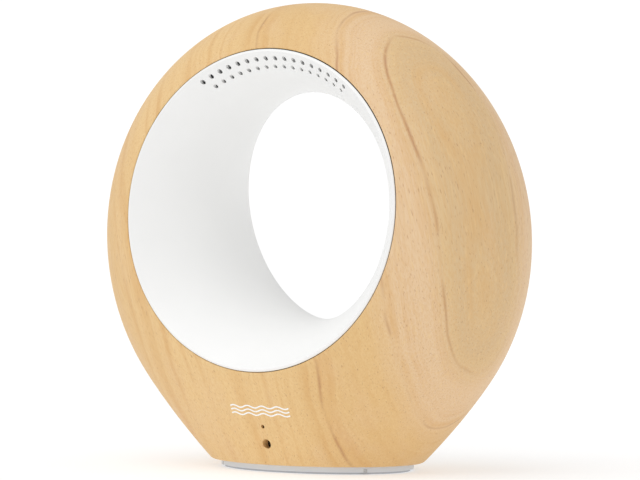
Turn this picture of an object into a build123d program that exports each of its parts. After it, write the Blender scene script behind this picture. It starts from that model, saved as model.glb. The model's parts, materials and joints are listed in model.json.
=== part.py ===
from build123d import *
import math
import os

# Air quality monitor: a hollow wooden ring on an oval foot, with a white lined
# opening right through it. Millimetres. X is width, Y is depth with the front
# face towards -Y, and Z is up. The origin is the middle of the face it rests on.

# ------------------------------------------------------------------ wooden body
BODY_WIDTH = 190.0            # widest, side to side
BODY_DEPTH = 113.7            # widest, front to back
DOME_RISE = 94.4              # from the widest level up to the top
FOOT_DROP = 88.6              # from the widest level down to the wood's foot
SIDE_TURN = 37.0              # degrees below the widest level where a side straightens
FACE_TURN = 34.0              # the same for the front and back faces
SIDE_LEAN = 1.107             # inward run per unit of drop at the foot, at the sides
FACE_LEAN = 0.397             # the same at the front and back
WOOD_WALL = 5.5
FOOT_WALL = 9.0               # the wood is thicker round the foot, to take screws
FOOT_LEDGE = 5.5              # height of that thicker part
FLANK_SECTIONS = 8

# --------------------------------------------------------------- base and pads
PAD_THICKNESS = 0.8
BASE_FLANGE = 2.4
BASE_INSET = 4.0              # the base plate stands back from the wood's foot
FIT_GAP = 0.3                 # between parts that only drop into each other
HOLE_CLEARANCE = 0.05         # round screws, pins and what is pressed in
FOOT_LEVEL = PAD_THICKNESS + BASE_FLANGE
WIDEST_LEVEL = FOOT_LEVEL + FOOT_DROP

# -------------------------------------------------------------- opening, liner
OPENING_RISE = 13.3           # opening's axis above the widest level
OPENING_LEVEL = WIDEST_LEVEL + OPENING_RISE
RIM_RADIUS = 64.3
WAIST_RADIUS = 45.4           # narrowest, half way through
FLARE_SWEEP = 0.67            # how sharply the liner flares near its rim
LINER_WALL = 2.2
LIP_DEPTH = 0.35              # the liner's lip sits this far below the wood's face
RIM_GAP = 0.5                 # shadow gap between the liner and the wood
LIP_WIDTH = 0.9               # the liner's edge, between its flare and the gap
SPIGOT_LENGTH = 2.5
SPIGOT_INSET = 0.1
SPIGOT_ROOT = 0.5             # the spigot starts this far inside the wall
LINER_SECTIONS = 6
LINER_REACH = 1.14            # the lofts run past the rim and are trimmed to it

# ----------------------------------------------------------------------- vents
VENT_ROWS = ((60.1, 17, 0.95), (56.7, 16, 0.80))      # circle radius, holes, hole radius
VENT_PITCH = 4.264            # degrees from hole to hole
VENT_SPARE = 0.3              # least plastic between a rear vent and a post
MESH_THICKNESS = 0.3
MESH_INNER = 53.2
MESH_OUTER = 60.0

# ----------------------------------------------------- small holes in the front
LENS_HOLE_RADIUS = 1.95
LENS_HOLE_RISE = 8.75         # above the wood's foot
LENS_SEAT = 3.2               # wood left in front of the light shroud
LIGHT_HOLE_RADIUS = 0.8
LIGHT_HOLE_RISE = 15.8
LIGHT_PIPE_RECESS = 1.6

# --------------------------------------------------------- rear inlet and button
INLET_RISE = 11.8             # above the wood's foot
BEZEL_LENGTH = 41.0
BEZEL_HEIGHT = 13.0
BEZEL_SHIFT = 6.0             # the bezel's middle from the centre line
BEZEL_RECESS = 0.5
BEZEL_FLANGE = 2.0
BEZEL_BACKING = 1.2
INLET_MOUTH_WIDTH = 12.8
INLET_MOUTH_HEIGHT = 7.0
SOCKET_WIDTH = 9.0
SOCKET_HEIGHT = 3.2
SOCKET_LENGTH = 7.4
SOCKET_SHEET = 0.35
SOCKET_STAND = 0.8            # how far the socket stands out of the bezel's back
SOCKET_BACK = 1.0
TONGUE_WIDTH = 6.7
TONGUE_THICKNESS = 0.7
TONGUE_SETBACK = 0.8
BUTTON_SHIFT = 16.0
BUTTON_RADIUS = 3.0
BUTTON_GAP = 0.3
BUTTON_TRAVEL = 0.5
BUTTON_STAND = 0.2            # the cap stands this far above the bezel
BUTTON_BAR_WIDTH = 7.8        # bar behind the cap that keeps it in
BUTTON_BAR_HEIGHT = 2.6
BUTTON_BAR_DEPTH = 1.2
SWITCH_WIDTH = 6.0
SWITCH_DEPTH = 3.6
PLUNGER_RADIUS = 0.9
PLUNGER_LENGTH = 2.6

# ------------------------------------------------------------------ light ring
CARRIER_HALF_WIDTH = 4.0
CARRIER_DEPTH = 4.6
CARRIER_WALL = 1.2
STRIP_THICKNESS = 0.4
STRIP_HALF_WIDTH = 3.2
LED_COUNT = 24
LED_SIZE = 2.8
LED_THICKNESS = 1.4

# ------------------------------------------------------------- base plate details
SPIGOT_WALL = 2.0
SPIGOT_RISE = 2.5
PAD_INSET = 1.4
PAD_BAND = 7.6
WOOD_SCREW_ANGLE = 35.0
WOOD_SCREW_INSET = 6.5        # from the outside of the wood's foot
SCREW_RADIUS = 1.25
HEAD_RADIUS = 2.5
HEAD_HEIGHT = 1.4
FRAME_SCREW_X = 24.0
FRAME_SCREW_Y = 9.0
SCREW_END_SPARE = 1.0         # left solid beyond a screw's end
DRIVE_SHARE = 0.7             # hexagon recess, as a share of the shank's radius

# ------------------------------------------------------- frame inside the base
DECK_RISE = 3.2               # underside of the frame's deck above the wood's foot
DECK_THICKNESS = 2.0
DECK_INSET = 1.0
CHEEK_HALF_WIDTH = 28.5
CHEEK_THICKNESS = 3.0
CHEEK_OFFSET = 12.0           # from the middle to each cheek's inner face
CHEEK_WINDOW_WIDTH = 38.0
CHEEK_RAIL = 5.0
FRONT_RAIL_RISE = 15.0
BOSS_RADIUS = 2.4
SMALL_SCREW_RADIUS = 1.0
SMALL_HEAD_RADIUS = 1.9
SMALL_HEAD_HEIGHT = 1.2
SMALL_SCREW_LENGTH = 6.0

# ------------------------------------------------------------------ main board
BOARD_THICKNESS = 1.6
BOARD_WIDTH = 58.0
BOARD_HEIGHT = 36.0
BOARD_RISE = 11.0             # lower edge above the wood's foot
BOARD_STANDOFF = 8.0
BOARD_HOLE_INSET = 3.6
# Name, x, rise above the board's lower edge, width, height, thickness, corner radius.
MAIN_BOARD_MODULES = (
    ("wireless_module", -12, 21, 24, 16, 2.8, 1.0),
    ("processor", 9, 21, 12, 12, 1.0, 0.4),
    ("memory_chip", 20, 17, 6, 8, 0.9, 0.4),
    ("power_coil", -17, 7.5, 7, 7, 3.2, 1.0),
)
CAPACITOR_SPOTS = ((-8, 5), (12, 6), (18, 6))         # x, rise above the lower edge
CAPACITOR_RADIUS = 2.4
CAPACITOR_HEIGHT = 6.0

# ------------------------------------------------ front board, light and sensor
FRONT_BOARD_WIDTH = 24.0
FRONT_BOARD_HEIGHT = 15.0
FRONT_BOARD_RISE = 6.0
FRONT_BOARD_STANDOFF = 4.0
FRONT_HOLE_X = 9.5
FRONT_HOLE_RISE = 10.5
SHROUD_RADIUS = 2.8
SHROUD_BORE = 2.1
LENS_THICKNESS = 1.2
LIGHT_SENSOR_SIZE = 2.0
CHIP_HEIGHT = 0.8
CHIP_CORNER = 0.2
PIPE_BODY_RADIUS = 1.5
PIPE_START = 1.2              # the light pipe starts just clear of the chip behind it
STATUS_LED_SIZE = 1.6
LINK_RISE = 18.6
LINK_PITCH = 2.54
LINK_PINS = 4
LINK_PIN_RADIUS = 0.32
LINK_HEADER_DEPTH = 2.5

# ------------------------------------------------------------------ power board
POWER_BOARD_THICKNESS = 1.2
POWER_BOARD_START_X = -11.0
POWER_BOARD_END_X = 21.0
POWER_BOARD_FRONT = 16.0
POWER_BOARD_BACK = 25.0
POWER_HOLE_Y = 18.6
POWER_HOLES_X = (-1.0, 9.5)
LEAD_RADIUS = 0.6
LEAD_X = -7.5
LEAD_SPACING = 2.4
LEAD_RISE = 13.3
HEADER_WIDTH = 6.4
HEADER_LENGTH = 4.0
HEADER_SETBACK = 0.4
LIGHT_LEAD_X = -9.0
LIGHT_HEADER_WIDTH = 5.0
LIGHT_HEADER_HEIGHT = 4.0
LIGHT_HEADER_SPARE = 1.2      # the header reaches this far past its leads

# ---------------------------------------------------------------- sensor board
SENSOR_PLANE = 12.0           # front face of the sensor board
SENSOR_BOARD_INNER = 53.6
SENSOR_BOARD_OUTER = 70.5
SENSOR_BOARD_START = 22.0     # degrees from the right-hand side
SENSOR_BOARD_SWEEP = 136.0
POST_ANGLES = (27.0, 66.0, 114.0, 153.0)
POST_CIRCLE = 60.0
POST_RADIUS = 2.5
POST_SCREW_BITE = 7.0
POST_ROOT = 2.0               # how far a post runs on past the rim's mean depth
CO2_ANGLE = 133.5
CO2_CIRCLE = 63.3
CO2_DEPTH = 18.0
CO2_LENGTH = 32.0
CO2_HEIGHT = 8.5
CO2_CORNER = 1.5
HUMIDITY_ANGLE = 58.0
HUMIDITY_CIRCLE = 66.4
HUMIDITY_SIZE = 3.0
HUMIDITY_HEIGHT = 1.2
VOC_ANGLE = 49.0
VOC_CIRCLE = 62.0
VOC_RADIUS = 4.0
VOC_HEIGHT = 5.5
VOC_ROUND = 0.6

# ------------------------------------------------------------ particle counter
COUNTER_WIDTH = 38.0
COUNTER_LENGTH = 30.4
COUNTER_HEIGHT = 11.2
COUNTER_RISE = 54.6           # its underside above the opening's axis
COUNTER_WALL = 1.2
FAN_RADIUS = 8.4
FAN_HEIGHT = 5.2
FAN_GAP = 0.6
FAN_HUB_RADIUS = 3.0
FAN_DISC = 0.8
FAN_PIN_RADIUS = 0.8
FAN_RUNNING_GAP = 0.06
FAN_BLADES = 9
FAN_BLADE = 0.6
FAN_X = 8.6
FAN_Y = 1.6
FAN_PIN_SPARE = 0.8           # the pin reaches this far above the fan
CASE_CORNER = 1.0
PORT_WIDTH = 10.0
PORT_HEIGHT = 5.0
COUNTER_BOARD_WIDTH = 15.0
COUNTER_BOARD_THICKNESS = 1.0
LASER_SETBACK = 6.0           # behind the case's middle
LASER_RISE = 4.2              # above the case's floor
LASER_GAP = 0.5
LASER_FLANGE_RADIUS = 2.8
LASER_FLANGE_LENGTH = 3.0
LASER_RADIUS = 2.2
LASER_LENGTH = 8.0

# -------------------------------------------------------------------- air duct
DUCT_INSET = 2.0              # narrower than the case, on each side
DUCT_RISE = 1.0               # starts above the case's underside
DUCT_SIDE_WALL = 1.5
DUCT_WALL = 1.2
DUCT_DIVIDER = 1.4

# --------------------------------------------------------------- ribbon cable
RIBBON_RADIUS = 56.5
RIBBON_THICKNESS = 0.3
RIBBON_WIDTH = 7.0
RIBBON_START = -65.0          # degrees round the opening from the right-hand side
RIBBON_END = 34.0
RIBBON_TAIL = 9.0
CONNECTOR_DEPTH = 8.0
CONNECTOR_LENGTH = 5.0
CONNECTOR_WIDTH = 3.6


def outline_half(level, half, turn, lean):
    """Half size of the body at a level: an ellipse down to the turn, then a flank."""
    height = level - WIDEST_LEVEL
    turn_height = -DOME_RISE * math.sin(math.radians(turn))
    if height >= turn_height:
        return half * math.sqrt(1 - (height / DOME_RISE) ** 2)
    drop = turn_height - height
    span = turn_height + FOOT_DROP
    turn_lean = half / DOME_RISE * math.tan(math.radians(turn))
    turn_half = half * math.cos(math.radians(turn))
    return turn_half - turn_lean * drop - (lean - turn_lean) * drop**2 / (2 * span)


def half_width(level):
    return outline_half(level, BODY_WIDTH / 2, SIDE_TURN, SIDE_LEAN)


def half_depth(level):
    return outline_half(level, BODY_DEPTH / 2, FACE_TURN, FACE_LEAN)


def face_depth(x, level, inset=0.0):
    """How far the body's face stands from the middle plane at a point of its front view."""
    share = x / (half_width(level) - inset)
    return (half_depth(level) - inset) * math.sqrt(1 - share**2)


def body_form(inset, bottom=FOOT_LEVEL):
    """The body's solid outer form with every face moved in by the inset."""
    across = BODY_WIDTH / 2 - inset
    deep = BODY_DEPTH / 2 - inset
    rise = DOME_RISE - inset
    join = WIDEST_LEVEL - DOME_RISE / 2
    with BuildPart() as dome:
        with BuildSketch(Plane.XZ):
            with Locations((0, WIDEST_LEVEL)):
                Ellipse(across, rise)
            with Locations((0, join)):
                Rectangle(2 * across, DOME_RISE, align=(Align.CENTER, Align.MAX), mode=Mode.SUBTRACT)
                Rectangle(across, 3 * rise, align=(Align.MAX, Align.MIN), mode=Mode.SUBTRACT)
        revolve(axis=Axis.Z)
        scale(by=(1, deep / across, 1))
    with BuildPart() as flank:
        for step in range(FLANK_SECTIONS):
            level = join + (bottom - join) * step / (FLANK_SECTIONS - 1)
            with BuildSketch(Plane.XY.offset(level)):
                if step == 0:
                    share = math.sqrt(1 - ((level - WIDEST_LEVEL) / rise) ** 2)
                    Ellipse(across * share, deep * share)
                else:
                    Ellipse(half_width(level) - inset, half_depth(level) - inset)
        loft()
    with BuildPart() as form:
        add(dome.part)
        add(flank.part)
    return form.part


RIM_TOP_DEPTH = face_depth(0, OPENING_LEVEL + RIM_RADIUS)
RIM_LOW_DEPTH = face_depth(0, OPENING_LEVEL - RIM_RADIUS)
RIM_SIDE_DEPTH = face_depth(RIM_RADIUS, OPENING_LEVEL)
RIM_MEAN_DEPTH = (RIM_TOP_DEPTH + RIM_LOW_DEPTH + 2 * RIM_SIDE_DEPTH) / 4
RIM_TILT = math.atan2(RIM_LOW_DEPTH - RIM_TOP_DEPTH, 2 * RIM_RADIUS)


LIP_RADIUS = RIM_RADIUS - RIM_GAP - LIP_WIDTH


def liner_radius(share, extra=0.0):
    """Liner's radius in front view, at a share of the way from its waist to its lip."""
    flare = 1 - math.sqrt(1 - (FLARE_SWEEP * share) ** 2)
    full = 1 - math.sqrt(1 - FLARE_SWEEP**2)
    return WAIST_RADIUS + (LIP_RADIUS - WAIST_RADIUS) * flare / full + extra


def liner_share(radius):
    """The share at which the liner has a given radius."""
    full = 1 - math.sqrt(1 - FLARE_SWEEP**2)
    flare = full * (radius - WAIST_RADIUS) / (LIP_RADIUS - WAIST_RADIUS)
    return math.sqrt(1 - (1 - flare) ** 2) / FLARE_SWEEP


def opening_plane(depth=0.0):
    """Upright plane at a distance behind the middle, centred on the opening's axis, facing front."""
    return Plane(origin=(0, depth, OPENING_LEVEL), x_dir=(1, 0, 0), z_dir=(0, -1, 0))


def upright_plane(depth=0.0):
    """Upright plane at a distance behind the middle, centred on the wood's foot, facing front."""
    return Plane(origin=(0, depth, FOOT_LEVEL), x_dir=(1, 0, 0), z_dir=(0, -1, 0))


def arc_band(inner, outer, start, sweep):
    """Flat band between two arcs, centred on the origin of the plane it is drawn in."""
    with BuildSketch() as band:
        with BuildLine():
            outer_arc = CenterArc((0, 0), outer, start, sweep)
            inner_arc = CenterArc((0, 0), inner, start, sweep)
            Line(outer_arc @ 0, inner_arc @ 0)
            Line(outer_arc @ 1, inner_arc @ 1)
        make_face()
    return band.sketch


def hourglass(extra):
    """Solid whose skin is the liner's, from front to back, grown outwards by extra."""
    with BuildPart() as form:
        for step in range(LINER_SECTIONS + 1):
            share = LINER_REACH * step / LINER_SECTIONS
            tilt = share * RIM_TILT
            radius = liner_radius(share, extra)
            middle = (0, share * RIM_MEAN_DEPTH, OPENING_LEVEL)
            plane = Plane(origin=middle, x_dir=(1, 0, 0), z_dir=(0, math.cos(tilt), math.sin(tilt)))
            with BuildSketch(plane):
                Ellipse(radius, radius / math.cos(tilt))
        loft()
        mirror(about=Plane.XZ)
    return form.part


def skin_depth(radius, angle):
    """How far the liner's visible skin stands from the middle plane at a radius and an angle."""
    return liner_share(radius) * (RIM_MEAN_DEPTH - radius * math.sin(angle) * math.tan(RIM_TILT))


post_spots = [
    (POST_CIRCLE * math.cos(math.radians(angle)), POST_CIRCLE * math.sin(math.radians(angle)))
    for angle in POST_ANGLES
]


def post_behind(x, rise, hole):
    """True where a rear vent would run into one of the sensor board's posts."""
    reach = POST_RADIUS + hole + VENT_SPARE
    return any(math.hypot(x - post_x, rise - post_rise) < reach for post_x, post_rise in post_spots)


def vent_drills(front):
    """Rods that cut both rows of vents from a liner, straight from front to back."""
    side = -1 if front else 1
    with BuildPart() as drills:
        for radius, count, hole in VENT_ROWS:
            for index in range(count):
                angle = math.radians(90 + (index - (count - 1) / 2) * VENT_PITCH)
                x = radius * math.cos(angle)
                rise = radius * math.sin(angle)
                if front or not post_behind(x, rise, hole):
                    with BuildSketch(opening_plane(side * skin_depth(radius, angle))):
                        with Locations((x, rise)):
                            Circle(hole)
        extrude(amount=3 * LINER_WALL, both=True)
    return drills.part


def slab(front):
    """Everything in front of the middle plane, or behind it."""
    side = Align.MAX if front else Align.MIN
    with BuildPart() as half:
        with Locations((0, 0, OPENING_LEVEL)):
            Box(2 * BODY_WIDTH, BODY_DEPTH, 2 * BODY_WIDTH, align=(Align.CENTER, side, Align.CENTER))
    return half.part


def ring_tube(inner, outer, start, end):
    """Plain tube round the opening's axis, between two distances behind the middle."""
    with BuildPart() as tube:
        with BuildSketch(opening_plane(start)):
            Circle(outer)
            Circle(inner, mode=Mode.SUBTRACT)
        extrude(amount=start - end)
    return tube.part


def rim_ribs(front):
    """Small ribs behind the lip that centre a liner in the wooden opening."""
    side = -1 if front else 1
    rib_depth = 2.5
    rib_setback = 2.2
    rib_count = 8
    rib_root = 2.0
    rib_width = 3.0
    with BuildPart() as ribs:
        for index in range(rib_count):
            angle = math.radians((index + 0.5) * 360 / rib_count)
            rim_x = RIM_RADIUS * math.cos(angle)
            rim_z = OPENING_LEVEL + RIM_RADIUS * math.sin(angle)
            depth = side * (face_depth(rim_x, rim_z) - rib_setback - rib_depth / 2)
            middle = RIM_RADIUS - HOLE_CLEARANCE - rib_root / 2
            point = (middle * math.cos(angle), depth, OPENING_LEVEL + middle * math.sin(angle))
            plane = Plane(origin=point, x_dir=(math.cos(angle), 0, math.sin(angle)), z_dir=(0, 1, 0))
            with BuildSketch(plane.offset(-rib_depth / 2)):
                Rectangle(rib_root, rib_width)
        extrude(amount=rib_depth)
    return ribs.part


os.makedirs("parts", exist_ok=True)


def save(piece, name):
    """Label a finished piece and write it as its own node."""
    piece.label = name
    export_step(piece, f"parts/{name}.step")


# ===================================================================== wooden body
outer_form = body_form(0)
cavity_form = body_form(WOOD_WALL, FOOT_LEVEL + FOOT_LEDGE)
bezel_level = FOOT_LEVEL + INLET_RISE
lens_level = FOOT_LEVEL + LENS_HOLE_RISE
light_level = FOOT_LEVEL + LIGHT_HOLE_RISE
lens_seat_depth = face_depth(0, lens_level) - LENS_SEAT
foot_long = half_width(FOOT_LEVEL)
foot_short = half_depth(FOOT_LEVEL)
wood_screw_x = (foot_long - WOOD_SCREW_INSET) * math.cos(math.radians(WOOD_SCREW_ANGLE))
wood_screw_y = (foot_short - WOOD_SCREW_INSET) * math.sin(math.radians(WOOD_SCREW_ANGLE))
corners = [(side, end) for side in (-1, 1) for end in (-1, 1)]
wood_screw_spots = [(side * wood_screw_x, end * wood_screw_y) for side, end in corners]
frame_screw_spots = [(side * FRAME_SCREW_X, end * FRAME_SCREW_Y) for side, end in corners]

with BuildPart() as wood_shell:
    add(outer_form)
    add(cavity_form, mode=Mode.SUBTRACT)
    with BuildSketch(Plane.XY.offset(FOOT_LEVEL)):
        Ellipse(foot_long - FOOT_WALL, foot_short - FOOT_WALL)
    extrude(amount=FOOT_LEDGE, mode=Mode.SUBTRACT)
    with BuildSketch(opening_plane()):
        Circle(RIM_RADIUS)
    extrude(amount=BODY_DEPTH, both=True, mode=Mode.SUBTRACT)
    with BuildSketch(upright_plane()):
        with Locations((0, LENS_HOLE_RISE)):
            Circle(LENS_HOLE_RADIUS)
        with Locations((0, LIGHT_HOLE_RISE)):
            Circle(LIGHT_HOLE_RADIUS)
    extrude(amount=BODY_DEPTH, mode=Mode.SUBTRACT)
    with BuildSketch(upright_plane()):
        with Locations((0, LENS_HOLE_RISE)):
            Circle(SHROUD_RADIUS + FIT_GAP)
    extrude(amount=lens_seat_depth, mode=Mode.SUBTRACT)
    with BuildSketch(upright_plane()):
        with Locations((BEZEL_SHIFT, INLET_RISE)):
            SlotOverall(BEZEL_LENGTH + 2 * FIT_GAP, BEZEL_HEIGHT + 2 * FIT_GAP)
    extrude(amount=-BODY_DEPTH, mode=Mode.SUBTRACT)
    with BuildSketch(Plane.XY.offset(FOOT_LEVEL)):
        with Locations(*wood_screw_spots):
            Circle(SCREW_RADIUS + HOLE_CLEARANCE)
    extrude(amount=FOOT_LEDGE - SCREW_END_SPARE / 2, mode=Mode.SUBTRACT)
save(wood_shell.part, "wood_shell")

# ========================================================================== liners
liner_skin = hourglass(LINER_WALL)
liner_void = hourglass(0)
with BuildPart() as liner_ring:
    with BuildSketch(opening_plane()):
        Circle(RIM_RADIUS - RIM_GAP)
    extrude(amount=BODY_DEPTH, both=True)
    add(body_form(LIP_DEPTH), mode=Mode.INTERSECT)
    add(liner_skin, mode=Mode.INTERSECT)
liner_blank = liner_ring.part

spigot_radius = WAIST_RADIUS + LINER_WALL / 2
with BuildPart() as front_liner:
    add(liner_blank)
    add(slab(True), mode=Mode.INTERSECT)
    add(rim_ribs(True))
    add(liner_void, mode=Mode.SUBTRACT)
    add(ring_tube(WAIST_RADIUS + SPIGOT_INSET, spigot_radius, -SPIGOT_ROOT, SPIGOT_LENGTH))
    add(vent_drills(True), mode=Mode.SUBTRACT)
save(front_liner.part, "front_liner")

sensor_board_back = SENSOR_PLANE + BOARD_THICKNESS
with BuildPart() as rear_liner:
    add(liner_blank)
    add(slab(False), mode=Mode.INTERSECT)
    add(rim_ribs(False))
    with BuildSketch(opening_plane(sensor_board_back)):
        with Locations(*post_spots):
            Circle(POST_RADIUS)
    extrude(amount=sensor_board_back - RIM_TOP_DEPTH + POST_ROOT)
    add(liner_void, mode=Mode.SUBTRACT)
    spigot_room = spigot_radius + HOLE_CLEARANCE
    add(ring_tube(WAIST_RADIUS - LINER_WALL, spigot_room, -SPIGOT_ROOT, SPIGOT_LENGTH + SPIGOT_INSET),
        mode=Mode.SUBTRACT)
    add(vent_drills(False), mode=Mode.SUBTRACT)
    with BuildSketch(opening_plane(sensor_board_back)):
        with Locations(*post_spots):
            Circle(SMALL_SCREW_RADIUS + HOLE_CLEARANCE)
    extrude(amount=-POST_SCREW_BITE, mode=Mode.SUBTRACT)
save(rear_liner.part, "rear_liner")

mesh_low = hourglass(LINER_WALL + HOLE_CLEARANCE)
mesh_high = hourglass(LINER_WALL + HOLE_CLEARANCE + MESH_THICKNESS)
mesh_sweep = VENT_PITCH * (VENT_ROWS[0][1] + 1)
for front, mesh_name in ((True, "front_vent_mesh"), (False, "rear_vent_mesh")):
    with BuildPart() as vent_mesh:
        with BuildSketch(opening_plane()):
            add(arc_band(MESH_INNER + LINER_WALL, MESH_OUTER + LINER_WALL, 90 - mesh_sweep / 2, mesh_sweep))
            if not front:
                with Locations(*post_spots):
                    Circle(POST_RADIUS + FIT_GAP, mode=Mode.SUBTRACT)
        extrude(amount=BODY_DEPTH if front else -BODY_DEPTH)
        add(mesh_high, mode=Mode.INTERSECT)
        add(mesh_low, mode=Mode.SUBTRACT)
    save(vent_mesh.part, mesh_name)

# ==================================================================== base and pad
with BuildPart() as base_plate:
    with BuildSketch(Plane.XY.offset(PAD_THICKNESS)):
        Ellipse(foot_long - BASE_INSET, foot_short - BASE_INSET)
    extrude(amount=BASE_FLANGE)
    with BuildSketch(Plane.XY.offset(FOOT_LEVEL)):
        Ellipse(foot_long - FOOT_WALL - FIT_GAP, foot_short - FOOT_WALL - FIT_GAP)
        Ellipse(foot_long - FOOT_WALL - FIT_GAP - SPIGOT_WALL, foot_short - FOOT_WALL - FIT_GAP - SPIGOT_WALL,
                mode=Mode.SUBTRACT)
    extrude(amount=SPIGOT_RISE)
    with BuildSketch(Plane.XY.offset(PAD_THICKNESS)):
        with Locations(*wood_screw_spots, *frame_screw_spots):
            Circle(SCREW_RADIUS + HOLE_CLEARANCE)
    extrude(amount=BASE_FLANGE, mode=Mode.SUBTRACT)
    with BuildSketch(Plane.XY.offset(PAD_THICKNESS)):
        with Locations(*wood_screw_spots, *frame_screw_spots):
            Circle(HEAD_RADIUS + HOLE_CLEARANCE)
    extrude(amount=HEAD_HEIGHT + HOLE_CLEARANCE, mode=Mode.SUBTRACT)
save(base_plate.part, "base_plate")

with BuildPart() as foot_pad:
    with BuildSketch():
        Ellipse(foot_long - BASE_INSET - PAD_INSET, foot_short - BASE_INSET - PAD_INSET)
        Ellipse(foot_long - BASE_INSET - PAD_INSET - PAD_BAND, foot_short - BASE_INSET - PAD_INSET - PAD_BAND,
                mode=Mode.SUBTRACT)
    extrude(amount=PAD_THICKNESS)
save(foot_pad.part, "foot_pad")


def screws(spots, plane, head_radius, head_height, shank_radius, length):
    """Group of pan-head screws whose heads start on the plane and whose shanks follow its normal."""
    with BuildPart() as group:
        with BuildSketch(plane):
            with Locations(*spots):
                Circle(head_radius)
        extrude(amount=head_height)
        with BuildSketch(plane.offset(head_height)):
            with Locations(*spots):
                Circle(shank_radius)
        extrude(amount=length)
        with BuildSketch(plane):
            with Locations(*spots):
                RegularPolygon(shank_radius * DRIVE_SHARE, 6)
        extrude(amount=head_height / 2, mode=Mode.SUBTRACT)
    return group.part


wood_screw_length = BASE_FLANGE - HEAD_HEIGHT + FOOT_LEDGE - SCREW_END_SPARE
frame_screw_length = BASE_FLANGE - HEAD_HEIGHT + DECK_RISE + DECK_THICKNESS - SCREW_END_SPARE / 2
screw_plane = Plane.XY.offset(PAD_THICKNESS)
save(screws(wood_screw_spots, screw_plane, HEAD_RADIUS, HEAD_HEIGHT, SCREW_RADIUS, wood_screw_length),
     "wood_screws")
save(screws(frame_screw_spots, screw_plane, HEAD_RADIUS, HEAD_HEIGHT, SCREW_RADIUS, frame_screw_length),
     "frame_screws")

# ============================================================ frame inside the base
deck_level = FOOT_LEVEL + DECK_RISE
deck_top_rise = DECK_RISE + DECK_THICKNESS
cheek_outer = CHEEK_OFFSET + CHEEK_THICKNESS
saddle_radius = liner_radius(cheek_outer / RIM_LOW_DEPTH, LINER_WALL + FIT_GAP)
board_back = CHEEK_OFFSET - BOARD_STANDOFF
board_front = board_back - BOARD_THICKNESS
board_middle_rise = BOARD_RISE + BOARD_HEIGHT / 2
board_hole_x = BOARD_WIDTH / 2 - BOARD_HOLE_INSET
board_hole_z = BOARD_HEIGHT / 2 - BOARD_HOLE_INSET
board_holes = [(side * board_hole_x, board_middle_rise + end * board_hole_z) for side, end in corners]
front_board_back = -cheek_outer - FRONT_BOARD_STANDOFF
front_board_front = front_board_back - BOARD_THICKNESS
front_board_holes = [(side * FRONT_HOLE_X, FRONT_HOLE_RISE) for side in (-1, 1)]
power_board_top = bezel_level - SOCKET_HEIGHT / 2 - HOLE_CLEARANCE
power_board_under = power_board_top - POWER_BOARD_THICKNESS
power_board_holes = [(x, POWER_HOLE_Y) for x in POWER_HOLES_X]
small_hole = SMALL_SCREW_RADIUS + HOLE_CLEARANCE
window_top_rise = BOARD_RISE + BOARD_HEIGHT - CHEEK_RAIL

with BuildPart() as inner_frame:
    with BuildSketch(Plane.XY.offset(deck_level)):
        Ellipse(foot_long - FOOT_WALL - DECK_INSET, foot_short - FOOT_WALL - DECK_INSET)
    extrude(amount=DECK_THICKNESS)
    with BuildSketch(Plane.XY.offset(FOOT_LEVEL)):
        with Locations(*frame_screw_spots):
            Circle(HEAD_RADIUS)
    extrude(amount=DECK_RISE)
    for side, window_rise in ((-1, FRONT_RAIL_RISE), (1, deck_top_rise + CHEEK_RAIL)):
        with BuildSketch(upright_plane(side * CHEEK_OFFSET)):
            with Locations((0, deck_top_rise)):
                Rectangle(2 * CHEEK_HALF_WIDTH, OPENING_LEVEL - FOOT_LEVEL - deck_top_rise,
                          align=(Align.CENTER, Align.MIN))
            with Locations((0, window_rise)):
                Rectangle(CHEEK_WINDOW_WIDTH, window_top_rise - window_rise,
                          align=(Align.CENTER, Align.MIN), mode=Mode.SUBTRACT)
            with Locations((0, OPENING_LEVEL - FOOT_LEVEL)):
                Circle(saddle_radius, mode=Mode.SUBTRACT)
        extrude(amount=-side * CHEEK_THICKNESS)
    with BuildSketch(upright_plane(CHEEK_OFFSET)):
        with Locations(*board_holes):
            Circle(BOSS_RADIUS)
            Circle(small_hole, mode=Mode.SUBTRACT)
    extrude(amount=BOARD_STANDOFF)
    with BuildSketch(upright_plane(-cheek_outer)):
        with Locations(*front_board_holes):
            Circle(BOSS_RADIUS)
            Circle(small_hole, mode=Mode.SUBTRACT)
    extrude(amount=FRONT_BOARD_STANDOFF)
    with BuildSketch(Plane.XY.offset(deck_level + DECK_THICKNESS)):
        with Locations(*power_board_holes):
            Circle(BOSS_RADIUS)
            Circle(small_hole, mode=Mode.SUBTRACT)
    extrude(amount=power_board_under - deck_level - DECK_THICKNESS)
    with BuildSketch(Plane.XY.offset(FOOT_LEVEL)):
        with Locations(*frame_screw_spots):
            Circle(SCREW_RADIUS + HOLE_CLEARANCE)
    extrude(amount=DECK_RISE + DECK_THICKNESS, mode=Mode.SUBTRACT)
    with BuildSketch(upright_plane(-cheek_outer)):
        with Locations(*front_board_holes):
            Circle(small_hole)
    extrude(amount=-(SMALL_SCREW_LENGTH - FRONT_BOARD_STANDOFF), mode=Mode.SUBTRACT)
save(inner_frame.part, "inner_frame")

# ===================================================================== main board
with BuildPart() as main_board:
    with BuildSketch(upright_plane(board_back)):
        with Locations((0, board_middle_rise)):
            RectangleRounded(BOARD_WIDTH, BOARD_HEIGHT, 2)
        with Locations(*board_holes):
            Circle(small_hole, mode=Mode.SUBTRACT)
    extrude(amount=BOARD_THICKNESS)
save(main_board.part, "main_board")


def back_facing_plane(depth, level):
    """Upright plane facing the back, with its own x running towards the object's left."""
    return Plane(origin=(0, depth, level), x_dir=(-1, 0, 0), z_dir=(0, 1, 0))


def small_screws(spots, plane, length=SMALL_SCREW_LENGTH):
    return screws(spots, plane, SMALL_HEAD_RADIUS, SMALL_HEAD_HEIGHT, SMALL_SCREW_RADIUS, length)


save(small_screws(board_holes, back_facing_plane(board_front - SMALL_HEAD_HEIGHT, FOOT_LEVEL)),
     "main_board_screws")


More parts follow.
